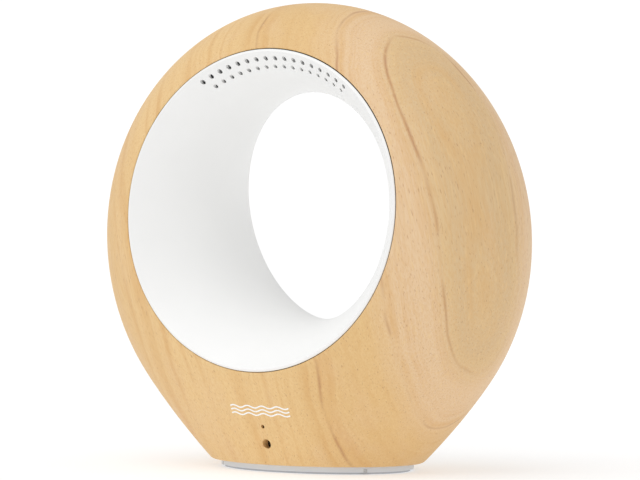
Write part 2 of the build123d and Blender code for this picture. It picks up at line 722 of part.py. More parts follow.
def on_board(plane, x, y, width, height, thickness, corner=CHIP_CORNER):
    """Plain rounded block standing on a board, given the board face's plane."""
    with BuildPart() as block:
        with BuildSketch(plane):
            with Locations((x, y)):
                RectangleRounded(width, height, corner)
        extrude(amount=thickness)
    return block.part


main_face = upright_plane(board_front)
for module_name, x, rise, width, height, thickness, corner in MAIN_BOARD_MODULES:
    save(on_board(main_face, x, BOARD_RISE + rise, width, height, thickness, corner), module_name)
with BuildPart() as capacitors:
    with BuildSketch(main_face):
        with Locations(*[(x, BOARD_RISE + rise) for x, rise in CAPACITOR_SPOTS]):
            Circle(CAPACITOR_RADIUS)
    extrude(amount=CAPACITOR_HEIGHT)
save(capacitors.part, "capacitors")

# =================================================== front board, light and sensor
front_face = upright_plane(front_board_front)
with BuildPart() as front_board:
    with BuildSketch(upright_plane(front_board_back)):
        with Locations((0, FRONT_BOARD_RISE + FRONT_BOARD_HEIGHT / 2)):
            RectangleRounded(FRONT_BOARD_WIDTH, FRONT_BOARD_HEIGHT, 1.5)
        with Locations(*front_board_holes):
            Circle(small_hole, mode=Mode.SUBTRACT)
    extrude(amount=BOARD_THICKNESS)
save(front_board.part, "front_board")
save(small_screws(front_board_holes, back_facing_plane(front_board_front - SMALL_HEAD_HEIGHT, FOOT_LEVEL)),
     "front_board_screws")
save(on_board(front_face, 0, LIGHT_HOLE_RISE, STATUS_LED_SIZE, STATUS_LED_SIZE, CHIP_HEIGHT), "status_led")
save(on_board(front_face, 0, LENS_HOLE_RISE, LIGHT_SENSOR_SIZE, LIGHT_SENSOR_SIZE, CHIP_HEIGHT), "light_sensor")

shroud_front = lens_seat_depth - FIT_GAP
shroud_length = shroud_front + front_board_front
with BuildPart() as light_shroud:
    with BuildSketch(front_face):
        with Locations((0, LENS_HOLE_RISE)):
            Circle(SHROUD_RADIUS)
            Circle(SHROUD_BORE, mode=Mode.SUBTRACT)
    extrude(amount=shroud_length)
save(light_shroud.part, "light_shroud")
with BuildPart() as sensor_lens:
    with BuildSketch(front_face.offset(shroud_length - LENS_THICKNESS - FIT_GAP)):
        with Locations((0, LENS_HOLE_RISE)):
            Circle(SHROUD_BORE)
    extrude(amount=LENS_THICKNESS)
save(sensor_lens.part, "sensor_lens")

pipe_shoulder = face_depth(PIPE_BODY_RADIUS, light_level - PIPE_BODY_RADIUS, WOOD_WALL) - FIT_GAP
pipe_tip = face_depth(0, light_level) - LIGHT_PIPE_RECESS
with BuildPart() as light_pipe:
    with BuildSketch(front_face.offset(PIPE_START)):
        with Locations((0, LIGHT_HOLE_RISE)):
            Circle(PIPE_BODY_RADIUS)
    extrude(amount=pipe_shoulder + front_board_front - PIPE_START)
    with BuildSketch(front_face.offset(PIPE_START)):
        with Locations((0, LIGHT_HOLE_RISE)):
            Circle(LIGHT_HOLE_RADIUS - HOLE_CLEARANCE)
    extrude(amount=pipe_tip + front_board_front - PIPE_START)
save(light_pipe.part, "light_pipe")

link_spots = [((index - (LINK_PINS - 1) / 2) * LINK_PITCH, LINK_RISE) for index in range(LINK_PINS)]
with BuildPart() as board_link_header:
    with BuildSketch(upright_plane(front_board_back)):
        with Locations((0, LINK_RISE)):
            Rectangle(LINK_PINS * LINK_PITCH, LINK_PITCH)
        with Locations(*link_spots):
            Circle(LINK_PIN_RADIUS + HOLE_CLEARANCE, mode=Mode.SUBTRACT)
    extrude(amount=-LINK_HEADER_DEPTH)
save(board_link_header.part, "board_link_header")
with BuildPart() as board_link_pins:
    with BuildSketch(upright_plane(front_board_back)):
        with Locations(*link_spots):
            Circle(LINK_PIN_RADIUS)
    extrude(amount=-(board_front - front_board_back))
save(board_link_pins.part, "board_link_pins")

# ================================================= power board, inlet and rear bezel
with BuildPart() as power_board:
    with BuildSketch(Plane.XY.offset(power_board_under)):
        with Locations((POWER_BOARD_START_X, POWER_BOARD_FRONT)):
            Rectangle(POWER_BOARD_END_X - POWER_BOARD_START_X, POWER_BOARD_BACK - POWER_BOARD_FRONT,
                      align=(Align.MIN, Align.MIN))
        with Locations(*power_board_holes):
            Circle(small_hole, mode=Mode.SUBTRACT)
    extrude(amount=POWER_BOARD_THICKNESS)
save(power_board.part, "power_board")
downward = Plane(origin=(0, 0, power_board_top + SMALL_HEAD_HEIGHT), x_dir=(1, 0, 0), z_dir=(0, 0, -1))
power_screw_length = POWER_BOARD_THICKNESS + power_board_under - deck_level - DECK_THICKNESS
save(small_screws([(x, -y) for x, y in power_board_holes], downward, power_screw_length), "power_board_screws")

bezel_inner = WOOD_WALL + BEZEL_BACKING
socket_end = face_depth(0, bezel_level, bezel_inner) + SOCKET_STAND
with BuildPart() as power_socket:
    with BuildSketch(upright_plane(socket_end)):
        with Locations((0, INLET_RISE)):
            SlotOverall(SOCKET_WIDTH, SOCKET_HEIGHT)
    extrude(amount=SOCKET_LENGTH)
    with BuildSketch(upright_plane(socket_end)):
        with Locations((0, INLET_RISE)):
            SlotOverall(SOCKET_WIDTH - 2 * SOCKET_SHEET, SOCKET_HEIGHT - 2 * SOCKET_SHEET)
    extrude(amount=SOCKET_LENGTH - SOCKET_BACK, mode=Mode.SUBTRACT)
save(power_socket.part, "power_socket")
with BuildPart() as socket_tongue:
    with BuildSketch(upright_plane(socket_end - TONGUE_SETBACK)):
        with Locations((0, INLET_RISE)):
            Rectangle(TONGUE_WIDTH, TONGUE_THICKNESS)
    extrude(amount=SOCKET_LENGTH - SOCKET_BACK - TONGUE_SETBACK)
save(socket_tongue.part, "socket_tongue")

with BuildPart() as rear_bezel:
    with BuildSketch(upright_plane()):
        with Locations((BEZEL_SHIFT, INLET_RISE)):
            SlotOverall(BEZEL_LENGTH + 2 * BEZEL_FLANGE, BEZEL_HEIGHT + BEZEL_FLANGE)
    extrude(amount=-BODY_DEPTH)
    add(body_form(WOOD_WALL + HOLE_CLEARANCE, FOOT_LEVEL + FOOT_LEDGE + FIT_GAP), mode=Mode.INTERSECT)
    with BuildSketch(upright_plane()):
        with Locations((BEZEL_SHIFT, INLET_RISE)):
            SlotOverall(BEZEL_LENGTH, BEZEL_HEIGHT)
    extrude(amount=-BODY_DEPTH)
    add(body_form(BEZEL_RECESS), mode=Mode.INTERSECT)
    add(body_form(bezel_inner), mode=Mode.SUBTRACT)
    with BuildSketch(upright_plane()):
        with Locations((0, INLET_RISE)):
            SlotOverall(INLET_MOUTH_WIDTH, INLET_MOUTH_HEIGHT)
        with Locations((BUTTON_SHIFT, INLET_RISE)):
            Circle(BUTTON_RADIUS + BUTTON_GAP)
    extrude(amount=-BODY_DEPTH, mode=Mode.SUBTRACT)
save(rear_bezel.part, "rear_bezel")

button_bar_low = bezel_level - BUTTON_BAR_HEIGHT / 2
button_shoulder = face_depth(BUTTON_SHIFT + BUTTON_BAR_WIDTH / 2, button_bar_low, bezel_inner)
button_shoulder -= BUTTON_GAP
with BuildPart() as button_cap:
    with BuildSketch(upright_plane(button_shoulder)):
        with Locations((BUTTON_SHIFT, INLET_RISE)):
            Circle(BUTTON_RADIUS)
    extrude(amount=-BODY_DEPTH)
    add(body_form(BEZEL_RECESS - BUTTON_STAND), mode=Mode.INTERSECT)
    with BuildSketch(upright_plane(button_shoulder)):
        with Locations((BUTTON_SHIFT, INLET_RISE)):
            Rectangle(BUTTON_BAR_WIDTH, BUTTON_BAR_HEIGHT)
    extrude(amount=BUTTON_BAR_DEPTH)
save(button_cap.part, "button_cap")

switch_back = button_shoulder - BUTTON_BAR_DEPTH - 2 * BUTTON_TRAVEL
switch_top = 2 * (bezel_level - power_board_top)
with BuildPart() as button_switch:
    with BuildSketch(Plane.XY.offset(power_board_top)):
        with Locations((BUTTON_SHIFT, switch_back)):
            Rectangle(SWITCH_WIDTH, SWITCH_DEPTH, align=(Align.CENTER, Align.MAX))
    extrude(amount=switch_top)
    with BuildSketch(upright_plane(switch_back)):
        with Locations((BUTTON_SHIFT, INLET_RISE)):
            Circle(PLUNGER_RADIUS + BUTTON_GAP)
    extrude(amount=PLUNGER_LENGTH, mode=Mode.SUBTRACT)
save(button_switch.part, "button_switch")
with BuildPart() as switch_plunger:
    with BuildSketch(upright_plane(button_shoulder - BUTTON_BAR_DEPTH)):
        with Locations((BUTTON_SHIFT, INLET_RISE)):
            Circle(PLUNGER_RADIUS)
    extrude(amount=PLUNGER_LENGTH)
save(switch_plunger.part, "switch_plunger")

lead_spots = [(LEAD_X + side * LEAD_SPACING / 2, LEAD_RISE) for side in (-1, 1)]
lead_level = FOOT_LEVEL + LEAD_RISE
header_height = 2 * (lead_level - power_board_top)
header_front = POWER_BOARD_FRONT + HEADER_SETBACK
with BuildPart() as power_headers:
    with BuildSketch(Plane.XY.offset(power_board_top)):
        with Locations((LEAD_X, header_front)):
            Rectangle(HEADER_WIDTH, HEADER_LENGTH, align=(Align.CENTER, Align.MIN))
    extrude(amount=header_height)
    with BuildSketch(upright_plane(board_back)):
        with Locations((LEAD_X, LEAD_RISE)):
            Rectangle(HEADER_WIDTH, HEADER_LENGTH)
    extrude(amount=-HEADER_LENGTH)
save(power_headers.part, "power_headers")
with BuildPart() as power_leads:
    with BuildSketch(upright_plane(board_back + HEADER_LENGTH)):
        with Locations(*lead_spots):
            Circle(LEAD_RADIUS)
    extrude(amount=-(header_front - board_back - HEADER_LENGTH))
save(power_leads.part, "power_leads")

# ====================================================================== light ring
carrier_bore = liner_radius(CARRIER_HALF_WIDTH / RIM_TOP_DEPTH, LINER_WALL + FIT_GAP)
carrier_radius = carrier_bore + CARRIER_DEPTH
strip_outer = carrier_radius - CARRIER_WALL
strip_inner = strip_outer - STRIP_THICKNESS
strip_back = CARRIER_HALF_WIDTH - CARRIER_WALL - STRIP_THICKNESS / 2
strip_front = strip_back - 2 * STRIP_HALF_WIDTH
with BuildPart() as light_ring_carrier:
    add(ring_tube(strip_outer, carrier_radius, -CARRIER_HALF_WIDTH, CARRIER_HALF_WIDTH))
    add(ring_tube(carrier_bore, carrier_radius, CARRIER_HALF_WIDTH - CARRIER_WALL, CARRIER_HALF_WIDTH))
save(light_ring_carrier.part, "light_ring_carrier")
save(ring_tube(strip_inner, strip_outer, strip_front, strip_back), "light_strip")
with BuildPart() as light_strip_leds:
    with BuildSketch(opening_plane((strip_front + strip_back + LED_SIZE) / 2)):
        with PolarLocations(strip_inner - LED_THICKNESS / 2 - HOLE_CLEARANCE, LED_COUNT):
            Rectangle(LED_THICKNESS, LED_SIZE)
    extrude(amount=LED_SIZE)
save(light_strip_leds.part, "light_strip_leds")

light_lead_depth = (strip_front + strip_back) / 2
light_header_top = FOOT_LEVEL + BOARD_RISE + BOARD_HEIGHT
light_lead_inner = abs(LIGHT_LEAD_X) - LEAD_SPACING / 2 - LEAD_RADIUS
light_lead_top = OPENING_LEVEL - math.sqrt(carrier_radius**2 - light_lead_inner**2) - HOLE_CLEARANCE
light_header_middle = BOARD_RISE + BOARD_HEIGHT - LIGHT_HEADER_HEIGHT / 2
light_header_depth = board_front - light_lead_depth + LIGHT_HEADER_SPARE
save(on_board(main_face, LIGHT_LEAD_X, light_header_middle, LIGHT_HEADER_WIDTH, LIGHT_HEADER_HEIGHT,
              light_header_depth), "light_header")
with BuildPart() as light_leads:
    with BuildSketch(Plane.XY.offset(light_header_top)):
        with Locations(*[(LIGHT_LEAD_X + side * LEAD_SPACING / 2, light_lead_depth) for side in (-1, 1)]):
            Circle(LEAD_RADIUS)
    extrude(amount=light_lead_top - light_header_top)
save(light_leads.part, "light_leads")

# ==================================================================== sensor board
sensor_face = opening_plane(SENSOR_PLANE)
with BuildPart() as sensor_board:
    with BuildSketch(sensor_face):
        add(arc_band(SENSOR_BOARD_INNER, SENSOR_BOARD_OUTER, SENSOR_BOARD_START, SENSOR_BOARD_SWEEP))
        with Locations(*post_spots):
            Circle(small_hole, mode=Mode.SUBTRACT)
    extrude(amount=-BOARD_THICKNESS)
save(sensor_board.part, "sensor_board")
save(small_screws(post_spots, back_facing_plane(SENSOR_PLANE - SMALL_HEAD_HEIGHT, OPENING_LEVEL)),
     "sensor_board_screws")


def at_angle(angle, radius, x_size, y_size, height, corner=CHIP_CORNER):
    """Block on the sensor board's front, turned to face the opening's axis."""
    with BuildPart() as block:
        with BuildSketch(sensor_face):
            with PolarLocations(radius, 1, start_angle=angle):
                RectangleRounded(x_size, y_size, corner)
        extrude(amount=height)
    return block.part


save(at_angle(CO2_ANGLE, CO2_CIRCLE, CO2_DEPTH, CO2_LENGTH, CO2_HEIGHT, CO2_CORNER), "co2_sensor")
save(at_angle(HUMIDITY_ANGLE, HUMIDITY_CIRCLE, HUMIDITY_SIZE, HUMIDITY_SIZE, HUMIDITY_HEIGHT),
     "humidity_sensor")
with BuildPart() as voc_sensor:
    with BuildSketch(sensor_face):
        with PolarLocations(VOC_CIRCLE, 1, start_angle=VOC_ANGLE):
            Circle(VOC_RADIUS)
    extrude(amount=VOC_HEIGHT)
    fillet(voc_sensor.faces().sort_by(Axis.Y)[0].edges(), VOC_ROUND)
save(voc_sensor.part, "voc_sensor")

# ================================================================ particle counter
counter_level = OPENING_LEVEL + COUNTER_RISE
counter_floor = counter_level + COUNTER_WALL
counter_top = counter_level + COUNTER_HEIGHT
counter_front = SENSOR_PLANE - COUNTER_LENGTH
counter_middle = SENSOR_PLANE - COUNTER_LENGTH / 2
with BuildPart() as counter_case:
    with BuildSketch(Plane.XY.offset(counter_level)):
        with Locations((0, counter_middle)):
            RectangleRounded(COUNTER_WIDTH, COUNTER_LENGTH, CASE_CORNER)
    extrude(amount=COUNTER_HEIGHT)
    with BuildSketch(Plane.XY.offset(counter_floor)):
        with Locations((0, counter_middle)):
            Rectangle(COUNTER_WIDTH - 2 * COUNTER_WALL, COUNTER_LENGTH - 2 * COUNTER_WALL)
    extrude(amount=COUNTER_HEIGHT, mode=Mode.SUBTRACT)
    with BuildSketch(Plane.XY.offset(counter_floor)):
        with Locations((FAN_X, FAN_Y)):
            Circle(FAN_PIN_RADIUS)
    extrude(amount=FAN_GAP + FAN_HEIGHT + FAN_PIN_SPARE)
    with BuildSketch(upright_plane(counter_front)):
        with Locations((-COUNTER_WIDTH / 4, (counter_floor + counter_top) / 2 - FOOT_LEVEL),
                       (COUNTER_WIDTH / 4, (counter_floor + counter_top) / 2 - FOOT_LEVEL)):
            Rectangle(PORT_WIDTH, PORT_HEIGHT)
    extrude(amount=-COUNTER_WALL, mode=Mode.SUBTRACT)
save(counter_case.part, "counter_case")
with BuildPart() as counter_lid:
    with BuildSketch(Plane.XY.offset(counter_top)):
        with Locations((0, counter_middle)):
            RectangleRounded(COUNTER_WIDTH, COUNTER_LENGTH, CASE_CORNER)
    extrude(amount=COUNTER_WALL)
save(counter_lid.part, "counter_lid")

fan_level = counter_floor + FAN_GAP
with BuildPart() as counter_fan:
    with BuildSketch(Plane.XY.offset(fan_level)):
        with Locations((FAN_X, FAN_Y)):
            Circle(FAN_RADIUS)
            Circle(FAN_PIN_RADIUS + FAN_RUNNING_GAP, mode=Mode.SUBTRACT)
    extrude(amount=FAN_DISC)
    with BuildSketch(Plane.XY.offset(fan_level)):
        with Locations((FAN_X, FAN_Y)):
            Circle(FAN_HUB_RADIUS)
            Circle(FAN_PIN_RADIUS + FAN_RUNNING_GAP, mode=Mode.SUBTRACT)
    extrude(amount=FAN_HEIGHT)
    with BuildSketch(Plane.XY.offset(fan_level)):
        with Locations((FAN_X, FAN_Y)):
            with PolarLocations((FAN_RADIUS + FAN_HUB_RADIUS) / 2 - FAN_BLADE, FAN_BLADES):
                Rectangle(FAN_RADIUS - FAN_HUB_RADIUS, FAN_BLADE)
    extrude(amount=FAN_HEIGHT)
save(counter_fan.part, "counter_fan")

with BuildPart() as counter_board:
    with BuildSketch(Plane.XY.offset(counter_floor)):
        with Locations((-COUNTER_WIDTH / 4 - COUNTER_WALL / 2, counter_middle)):
            Rectangle(COUNTER_BOARD_WIDTH, COUNTER_LENGTH - 2 * COUNTER_WALL - 2 * FIT_GAP)
    extrude(amount=COUNTER_BOARD_THICKNESS)
save(counter_board.part, "counter_board")
laser_plane = Plane.YZ.offset(-COUNTER_WIDTH / 2 + COUNTER_WALL + LASER_GAP)
laser_steps = ((LASER_FLANGE_RADIUS, LASER_FLANGE_LENGTH), (LASER_RADIUS, LASER_LENGTH))
with BuildPart() as laser_diode:
    for laser_radius, laser_length in laser_steps:
        with BuildSketch(laser_plane):
            with Locations((counter_middle + LASER_SETBACK, counter_floor + LASER_RISE)):
                Circle(laser_radius)
        extrude(amount=laser_length)
save(laser_diode.part, "laser_diode")

duct_low = COUNTER_RISE + DUCT_RISE
duct_high = COUNTER_RISE + COUNTER_HEIGHT
duct_half = COUNTER_WIDTH / 2 - DUCT_INSET
with BuildPart() as air_duct:
    with BuildSketch(opening_plane(counter_front)):
        with Locations((0, (duct_low + duct_high) / 2)):
            Rectangle(2 * duct_half, duct_high - duct_low)
    extrude(amount=BODY_DEPTH / 4)
    add(body_form(WOOD_WALL + FIT_GAP), mode=Mode.INTERSECT)
    add(mesh_high, mode=Mode.SUBTRACT)
    with BuildSketch(opening_plane(counter_front)):
        with Locations((0, (duct_low + duct_high) / 2)):
            Rectangle(2 * (duct_half - DUCT_SIDE_WALL), duct_high - duct_low - 2 * DUCT_WALL)
            Rectangle(DUCT_DIVIDER, duct_high - duct_low, mode=Mode.SUBTRACT)
    extrude(amount=BODY_DEPTH / 4, mode=Mode.SUBTRACT)
save(air_duct.part, "air_duct")

# ==================================================================== ribbon cable
ribbon_plane = opening_plane(SENSOR_PLANE - FIT_GAP * 2)
ribbon_low = (
    RIBBON_RADIUS * math.cos(math.radians(RIBBON_START)),
    RIBBON_RADIUS * math.sin(math.radians(RIBBON_START)),
)
with BuildPart() as ribbon_cable:
    with BuildSketch(ribbon_plane):
        add(arc_band(RIBBON_RADIUS, RIBBON_RADIUS + RIBBON_THICKNESS, RIBBON_START, RIBBON_END - RIBBON_START))
        with Locations(Location(ribbon_low, RIBBON_START)):
            Rectangle(RIBBON_THICKNESS, RIBBON_TAIL, align=(Align.MIN, Align.MAX))
    extrude(amount=RIBBON_WIDTH)
save(ribbon_cable.part, "ribbon_cable")

with BuildPart() as sensor_connector:
    with BuildSketch(sensor_face):
        with PolarLocations(RIBBON_RADIUS, 1, start_angle=RIBBON_END):
            Rectangle(CONNECTOR_WIDTH, CONNECTOR_LENGTH, align=(Align.CENTER, Align.MIN))
    extrude(amount=CONNECTOR_DEPTH)
save(sensor_connector.part, "sensor_connector")
tail_x = ribbon_low[0] + RIBBON_TAIL * math.sin(math.radians(RIBBON_START))
tail_z = ribbon_low[1] - RIBBON_TAIL * math.cos(math.radians(RIBBON_START))
with BuildPart() as main_connector:
    with BuildSketch(opening_plane(board_back)):
        with Locations(Location((tail_x, tail_z), RIBBON_START)):
            Rectangle(CONNECTOR_WIDTH, CONNECTOR_LENGTH, align=(Align.CENTER, Align.MAX))
    extrude(amount=-CONNECTOR_DEPTH + FIT_GAP)
save(main_connector.part, "main_connector")
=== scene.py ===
import json
import math

import bmesh
import bpy
import numpy as np
from bpy.props import FloatProperty, FloatVectorProperty, IntProperty, PointerProperty
from bpy.types import Operator, Panel, PropertyGroup
from mathutils import Matrix, Vector


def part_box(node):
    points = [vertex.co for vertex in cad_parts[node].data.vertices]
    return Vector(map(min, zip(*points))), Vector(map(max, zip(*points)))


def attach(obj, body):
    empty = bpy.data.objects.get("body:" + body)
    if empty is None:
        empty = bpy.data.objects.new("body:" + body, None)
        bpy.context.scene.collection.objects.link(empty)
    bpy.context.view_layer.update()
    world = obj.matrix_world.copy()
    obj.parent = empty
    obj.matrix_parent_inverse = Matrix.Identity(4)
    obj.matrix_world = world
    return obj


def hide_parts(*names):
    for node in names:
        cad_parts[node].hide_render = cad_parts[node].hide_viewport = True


bl_info = {
    "name": "Ring Air Quality Monitor",
    "version": (1, 0, 0),
    "blender": (4, 5, 0),
    "location": "3D View > Sidebar > Monitor",
    "description": "Builds the wooden ring, its white liners, its mark, its finishes and a studio",
    "category": "Object",
}

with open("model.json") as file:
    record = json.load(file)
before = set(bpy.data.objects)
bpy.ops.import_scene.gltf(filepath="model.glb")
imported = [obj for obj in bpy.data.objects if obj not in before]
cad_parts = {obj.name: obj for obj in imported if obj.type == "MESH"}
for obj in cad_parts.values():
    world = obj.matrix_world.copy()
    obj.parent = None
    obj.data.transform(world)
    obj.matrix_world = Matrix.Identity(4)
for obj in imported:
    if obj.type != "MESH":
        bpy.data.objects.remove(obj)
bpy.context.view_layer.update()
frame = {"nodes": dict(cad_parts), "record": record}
SHELL_LOW, SHELL_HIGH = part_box("wood_shell")
LINER_LOW, LINER_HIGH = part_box("front_liner")
BEZEL_LOW, BEZEL_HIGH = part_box("rear_bezel")
LENS_LOW, LENS_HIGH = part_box("sensor_lens")
PIPE_LOW, PIPE_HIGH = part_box("light_pipe")
SCREWS_LOW, SCREWS_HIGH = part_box("wood_screws")
SHROUD_LOW, SHROUD_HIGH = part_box("light_shroud")

MM = 0.001
MERGE_DISTANCE = 1e-6         # metres; points closer than this are one
SHARP_ANGLE = math.radians(38)
HALVINGS = 48                 # steps that find where a ray leaves the outline
FULL_TURN = 2 * math.pi

BEZEL_SLOT_LENGTH = 41.0 * MM
BEZEL_SLOT_HEIGHT = 13.0 * MM
SCREW_HEAD_RADIUS = 2.5 * MM
FRONT_CUT_START = 15 * MM     # from the middle plane; where the cutters of the front holes begin
REAR_CUT_START = 20 * MM      # the same for the cutter of the inlet's slot
CUT_PAST = 1 * MM             # how far a cutter runs past what it cuts
VENT_CUT_START = -3 * MM      # from the flare's face, along a vent
VENT_CUT_END = 6 * MM
HOLE_SIDES = 40               # sides of the cutters for the front holes
SLOT_SIDES = 96
OVAL_SIDES = 128
PILOT_SIDES = 24
VENT_SIDES = 22


def linear(code):
    """Turns an sRGB hex colour such as E8C894 into linear red, green and blue."""
    shares = np.array([int(code[place:place + 2], 16) for place in (0, 2, 4)]) / 255
    curved = ((shares + 0.055) / 1.055) ** 2.4
    return tuple(np.where(shares <= 0.04045, shares / 12.92, curved).tolist())


# ------------------------------------------------------------------ what a user can change
def length(name, description, metres):
    """A size in metres."""
    return FloatProperty(name=name, description=description, default=metres, unit="LENGTH")


def angle(name, description, degrees):
    """An angle, kept in radians."""
    return FloatProperty(name=name, description=description, default=math.radians(degrees), subtype="ANGLE")


def ratio(name, description, value):
    """A plain number."""
    return FloatProperty(name=name, description=description, default=value)


def count(name, description, value):
    """How many there are."""
    return IntProperty(name=name, description=description, default=value, min=1)


def colour(name, description, code):
    """A colour, from its sRGB hex code."""
    return FloatVectorProperty(
        name=name, description=description, default=linear(code), subtype="COLOR", min=0, max=1
    )


class BodySizes(PropertyGroup):
    """Sizes of the wooden body."""

    half_width: length("Half width", "Middle to side at the widest level", SHELL_HIGH.x)
    half_depth: length("Half depth", "Middle to front at the widest level, were it not cut", 56.85 * MM)
    dome_rise: length("Dome rise", "Widest level up to the top", 94.4 * MM)
    side_turn: angle("Side turn", "Where a side leaves its ellipse", 37.0)
    face_turn: angle("Face turn", "Where the front and back leave their ellipse", 34.0)
    side_lean: ratio("Side lean", "Inward run per drop at the foot, at the sides", 1.107)
    face_lean: ratio("Face lean", "Inward run per drop at the foot, front and back", 0.397)
    wall: length("Wall", "Thickness of the hollowed wood", 5.5 * MM)
    foot_wall: length("Foot wall", "Wood left round the hole in the foot", 9.0 * MM)
    foot_ledge: length("Foot ledge", "Height of the thicker foot", 5.5 * MM)
    foot_round: length("Foot round", "Rounding of the foot's edge", 0.7 * MM)
    rim_radius: length("Rim radius", "Radius of the opening in the wood", 64.0 * MM)
    rim_round: length("Rim round", "Rounding of the opening's edge", 1.1 * MM)
    lens_hole: length("Lens hole", "Radius of the larger front hole", 1.95 * MM)
    light_hole: length("Light hole", "Radius of the smaller front hole", 0.8 * MM)
    inlet_gap: length("Inlet gap", "Gap round the rear bezel and the light shroud", 0.3 * MM)
    pilot_hole: length("Pilot hole", "Radius of the screw holes in the foot", 1.3 * MM)
    around: count("Steps around", "Grid steps round the opening", 330)
    across: count("Steps across", "Grid steps from the opening to the outline", 44)


class LinerSizes(PropertyGroup):
    """Sizes of the two flared white liners."""

    waist_radius: length("Waist radius", "Narrowest radius, half way through", 45.4 * MM)
    outer_radius: length("Outer radius", "Radius of the liner's edge", LINER_HIGH.x)
    lip_width: length("Lip width", "Width of the narrow land at the edge", 0.9 * MM)
    lip_depth: length("Lip depth", "How far the edge sits below the wood", 0.35 * MM)
    lip_round: length("Lip round", "Rounding of the edge", 0.4 * MM)
    sweep: ratio("Flare sweep", "How sharply the liner flares near its edge", 0.67)
    wall: length("Wall", "Thickness, kept clear of the dust mesh behind it", 1.8 * MM)
    vent_pitch: angle("Vent pitch", "Angle from vent to vent", 4.264)
    around: count("Steps around", "Grid steps round the opening", 384)
    along: count("Steps along", "Grid steps from the waist to the edge", 50)


class MarkSizes(PropertyGroup):
    """Sizes of the printed mark of three waves."""

    rise: length("Rise", "Middle of the mark above the wood's foot", 22.3 * MM)
    width: length("Width", "Length of each wave", 28.0 * MM)
    spacing: length("Spacing", "From wave to wave", 1.5 * MM)
    swing: length("Swing", "Height of a wave above its middle line", 0.45 * MM)
    stroke: length("Stroke", "Width of the printed line", 0.55 * MM)
    ink: length("Ink", "How far the ink stands proud of the wood", 0.03 * MM)
    waves: ratio("Waves", "Whole waves along the mark", 4.0)


class FinishColours(PropertyGroup):
    """Colours of the finishes."""

    wood_heart: colour("Wood, heart", "Olive honey wood nearest the pith", "DCBE92")
    wood_rose: colour("Wood, rose", "Pale pinkish band outside the heart", "EACBA4")
    wood_honey: colour("Wood, honey", "The wood's main colour", "E6C289")
    wood_light: colour("Wood, light", "Light early wood", "EDCB93")
    wood_amber: colour("Wood, amber", "Amber streaks", "D9A767")
    wood_line: colour("Wood, dark line", "Thin dark growth lines and pores", "AC7350")
    liner_white: colour("Liner white", "Satin white moulding", "F7F7F6")
    base_grey: colour("Base grey", "Pale grey base plate", "E4EDF8")
    ink_white: colour("Ink white", "The printed mark", "FDFDFC")


class StudioSetup(PropertyGroup):
    """The camera and the light."""

    azimuth: angle("Azimuth", "Camera's turn to the object's right", 33.867)
    elevation: angle("Elevation", "Camera's height above level", 3.348)
    roll: angle("Roll", "Camera's lean", 0.094)
    distance: length("Distance", "Camera to the object's middle", 3.8)
    shift_right: length("Aim right", "Aim beside the middle", 0.88 * MM)
    shift_up: length("Aim up", "Aim above the widest level", -0.41 * MM)
    focal_length: ratio("Focal length", "In millimetres on a 36 mm wide sensor", 534.29)
    sky: ratio("Sky", "Strength of the even white surroundings", 0.71)
    key: ratio("Key", "Strength of the broad, far key light", 0.95)
    key_spread: angle("Key spread", "How wide the key light looks", 60.0)
    floor_glow: ratio("Floor glow", "How brightly the white table is lit from beneath", 0.47)


# ------------------------------------------------------------------------- the body's form
def outline_half(level, half, turn, lean):
    """Half size of the body at a level.

    Formula: half times the square root of one minus (height over dome rise) squared, down to
    the turn; below it the size falls by the turn's slope plus a part that grows with the
    square of the drop, so that the slope at the foot is the given lean.
    """
    body = bpy.context.scene.monitor_body
    height = level - widest_level()
    turn_height = -body.dome_rise * math.sin(turn)
    ellipse = half * np.sqrt(np.clip(1 - (height / body.dome_rise) ** 2, 0, 1))
    drop = turn_height - height
    span = turn_height + widest_level() - SHELL_LOW.z
    turn_lean = half / body.dome_rise * math.tan(turn)
    flank = half * math.cos(turn) - turn_lean * drop - (lean - turn_lean) * drop**2 / (2 * span)
    return np.where(drop > 0, flank, ellipse)


def widest_level():
    """Level of the body's widest section."""
    return SHELL_HIGH.z - bpy.context.scene.monitor_body.dome_rise


def opening_level():
    """Level of the axis that the liners are centred on."""
    return (LINER_LOW.z + LINER_HIGH.z) / 2


def section(level, inset=0.0):
    """Half width and half depth of the level section, an ellipse, with its faces moved in.

    The outer form pulls in over its last foot_round by a quarter circle. The inner form is a
    smaller half ellipsoid above the widest level and the outer outline less the wall below it.
    """
    body = bpy.context.scene.monitor_body
    height = level - widest_level()
    halves = []
    for half, turn, lean in (
        (body.half_width, body.side_turn, body.side_lean),
        (body.half_depth, body.face_turn, body.face_lean),
    ):
        outer = outline_half(level, half, turn, lean)
        if inset:
            share = np.clip(height / (body.dome_rise - inset), 0, 1)
            dome = (half - inset) * np.sqrt(1 - share**2)
            halves.append(np.where(height > 0, dome, outer - inset))
        else:
            climb = np.clip((level - SHELL_LOW.z) / body.foot_round, 0, 1)
            halves.append(outer - body.foot_round * (1 - np.sqrt(1 - (1 - climb) ** 2)))
    return halves


def face_depth(x, level, inset=0.0):
    """How far the face stands from the middle plane: deep times root of one minus (x / across) squared."""
    across, deep = section(level, inset)
    return deep * np.sqrt(np.clip(1 - (x / across) ** 2, 0, 1))


def polar_depth(radius, turn, inset=0.0):
    """Face depth at a radius and an angle round the opening's axis."""
    return face_depth(radius * np.cos(turn), opening_level() + radius * np.sin(turn), inset)


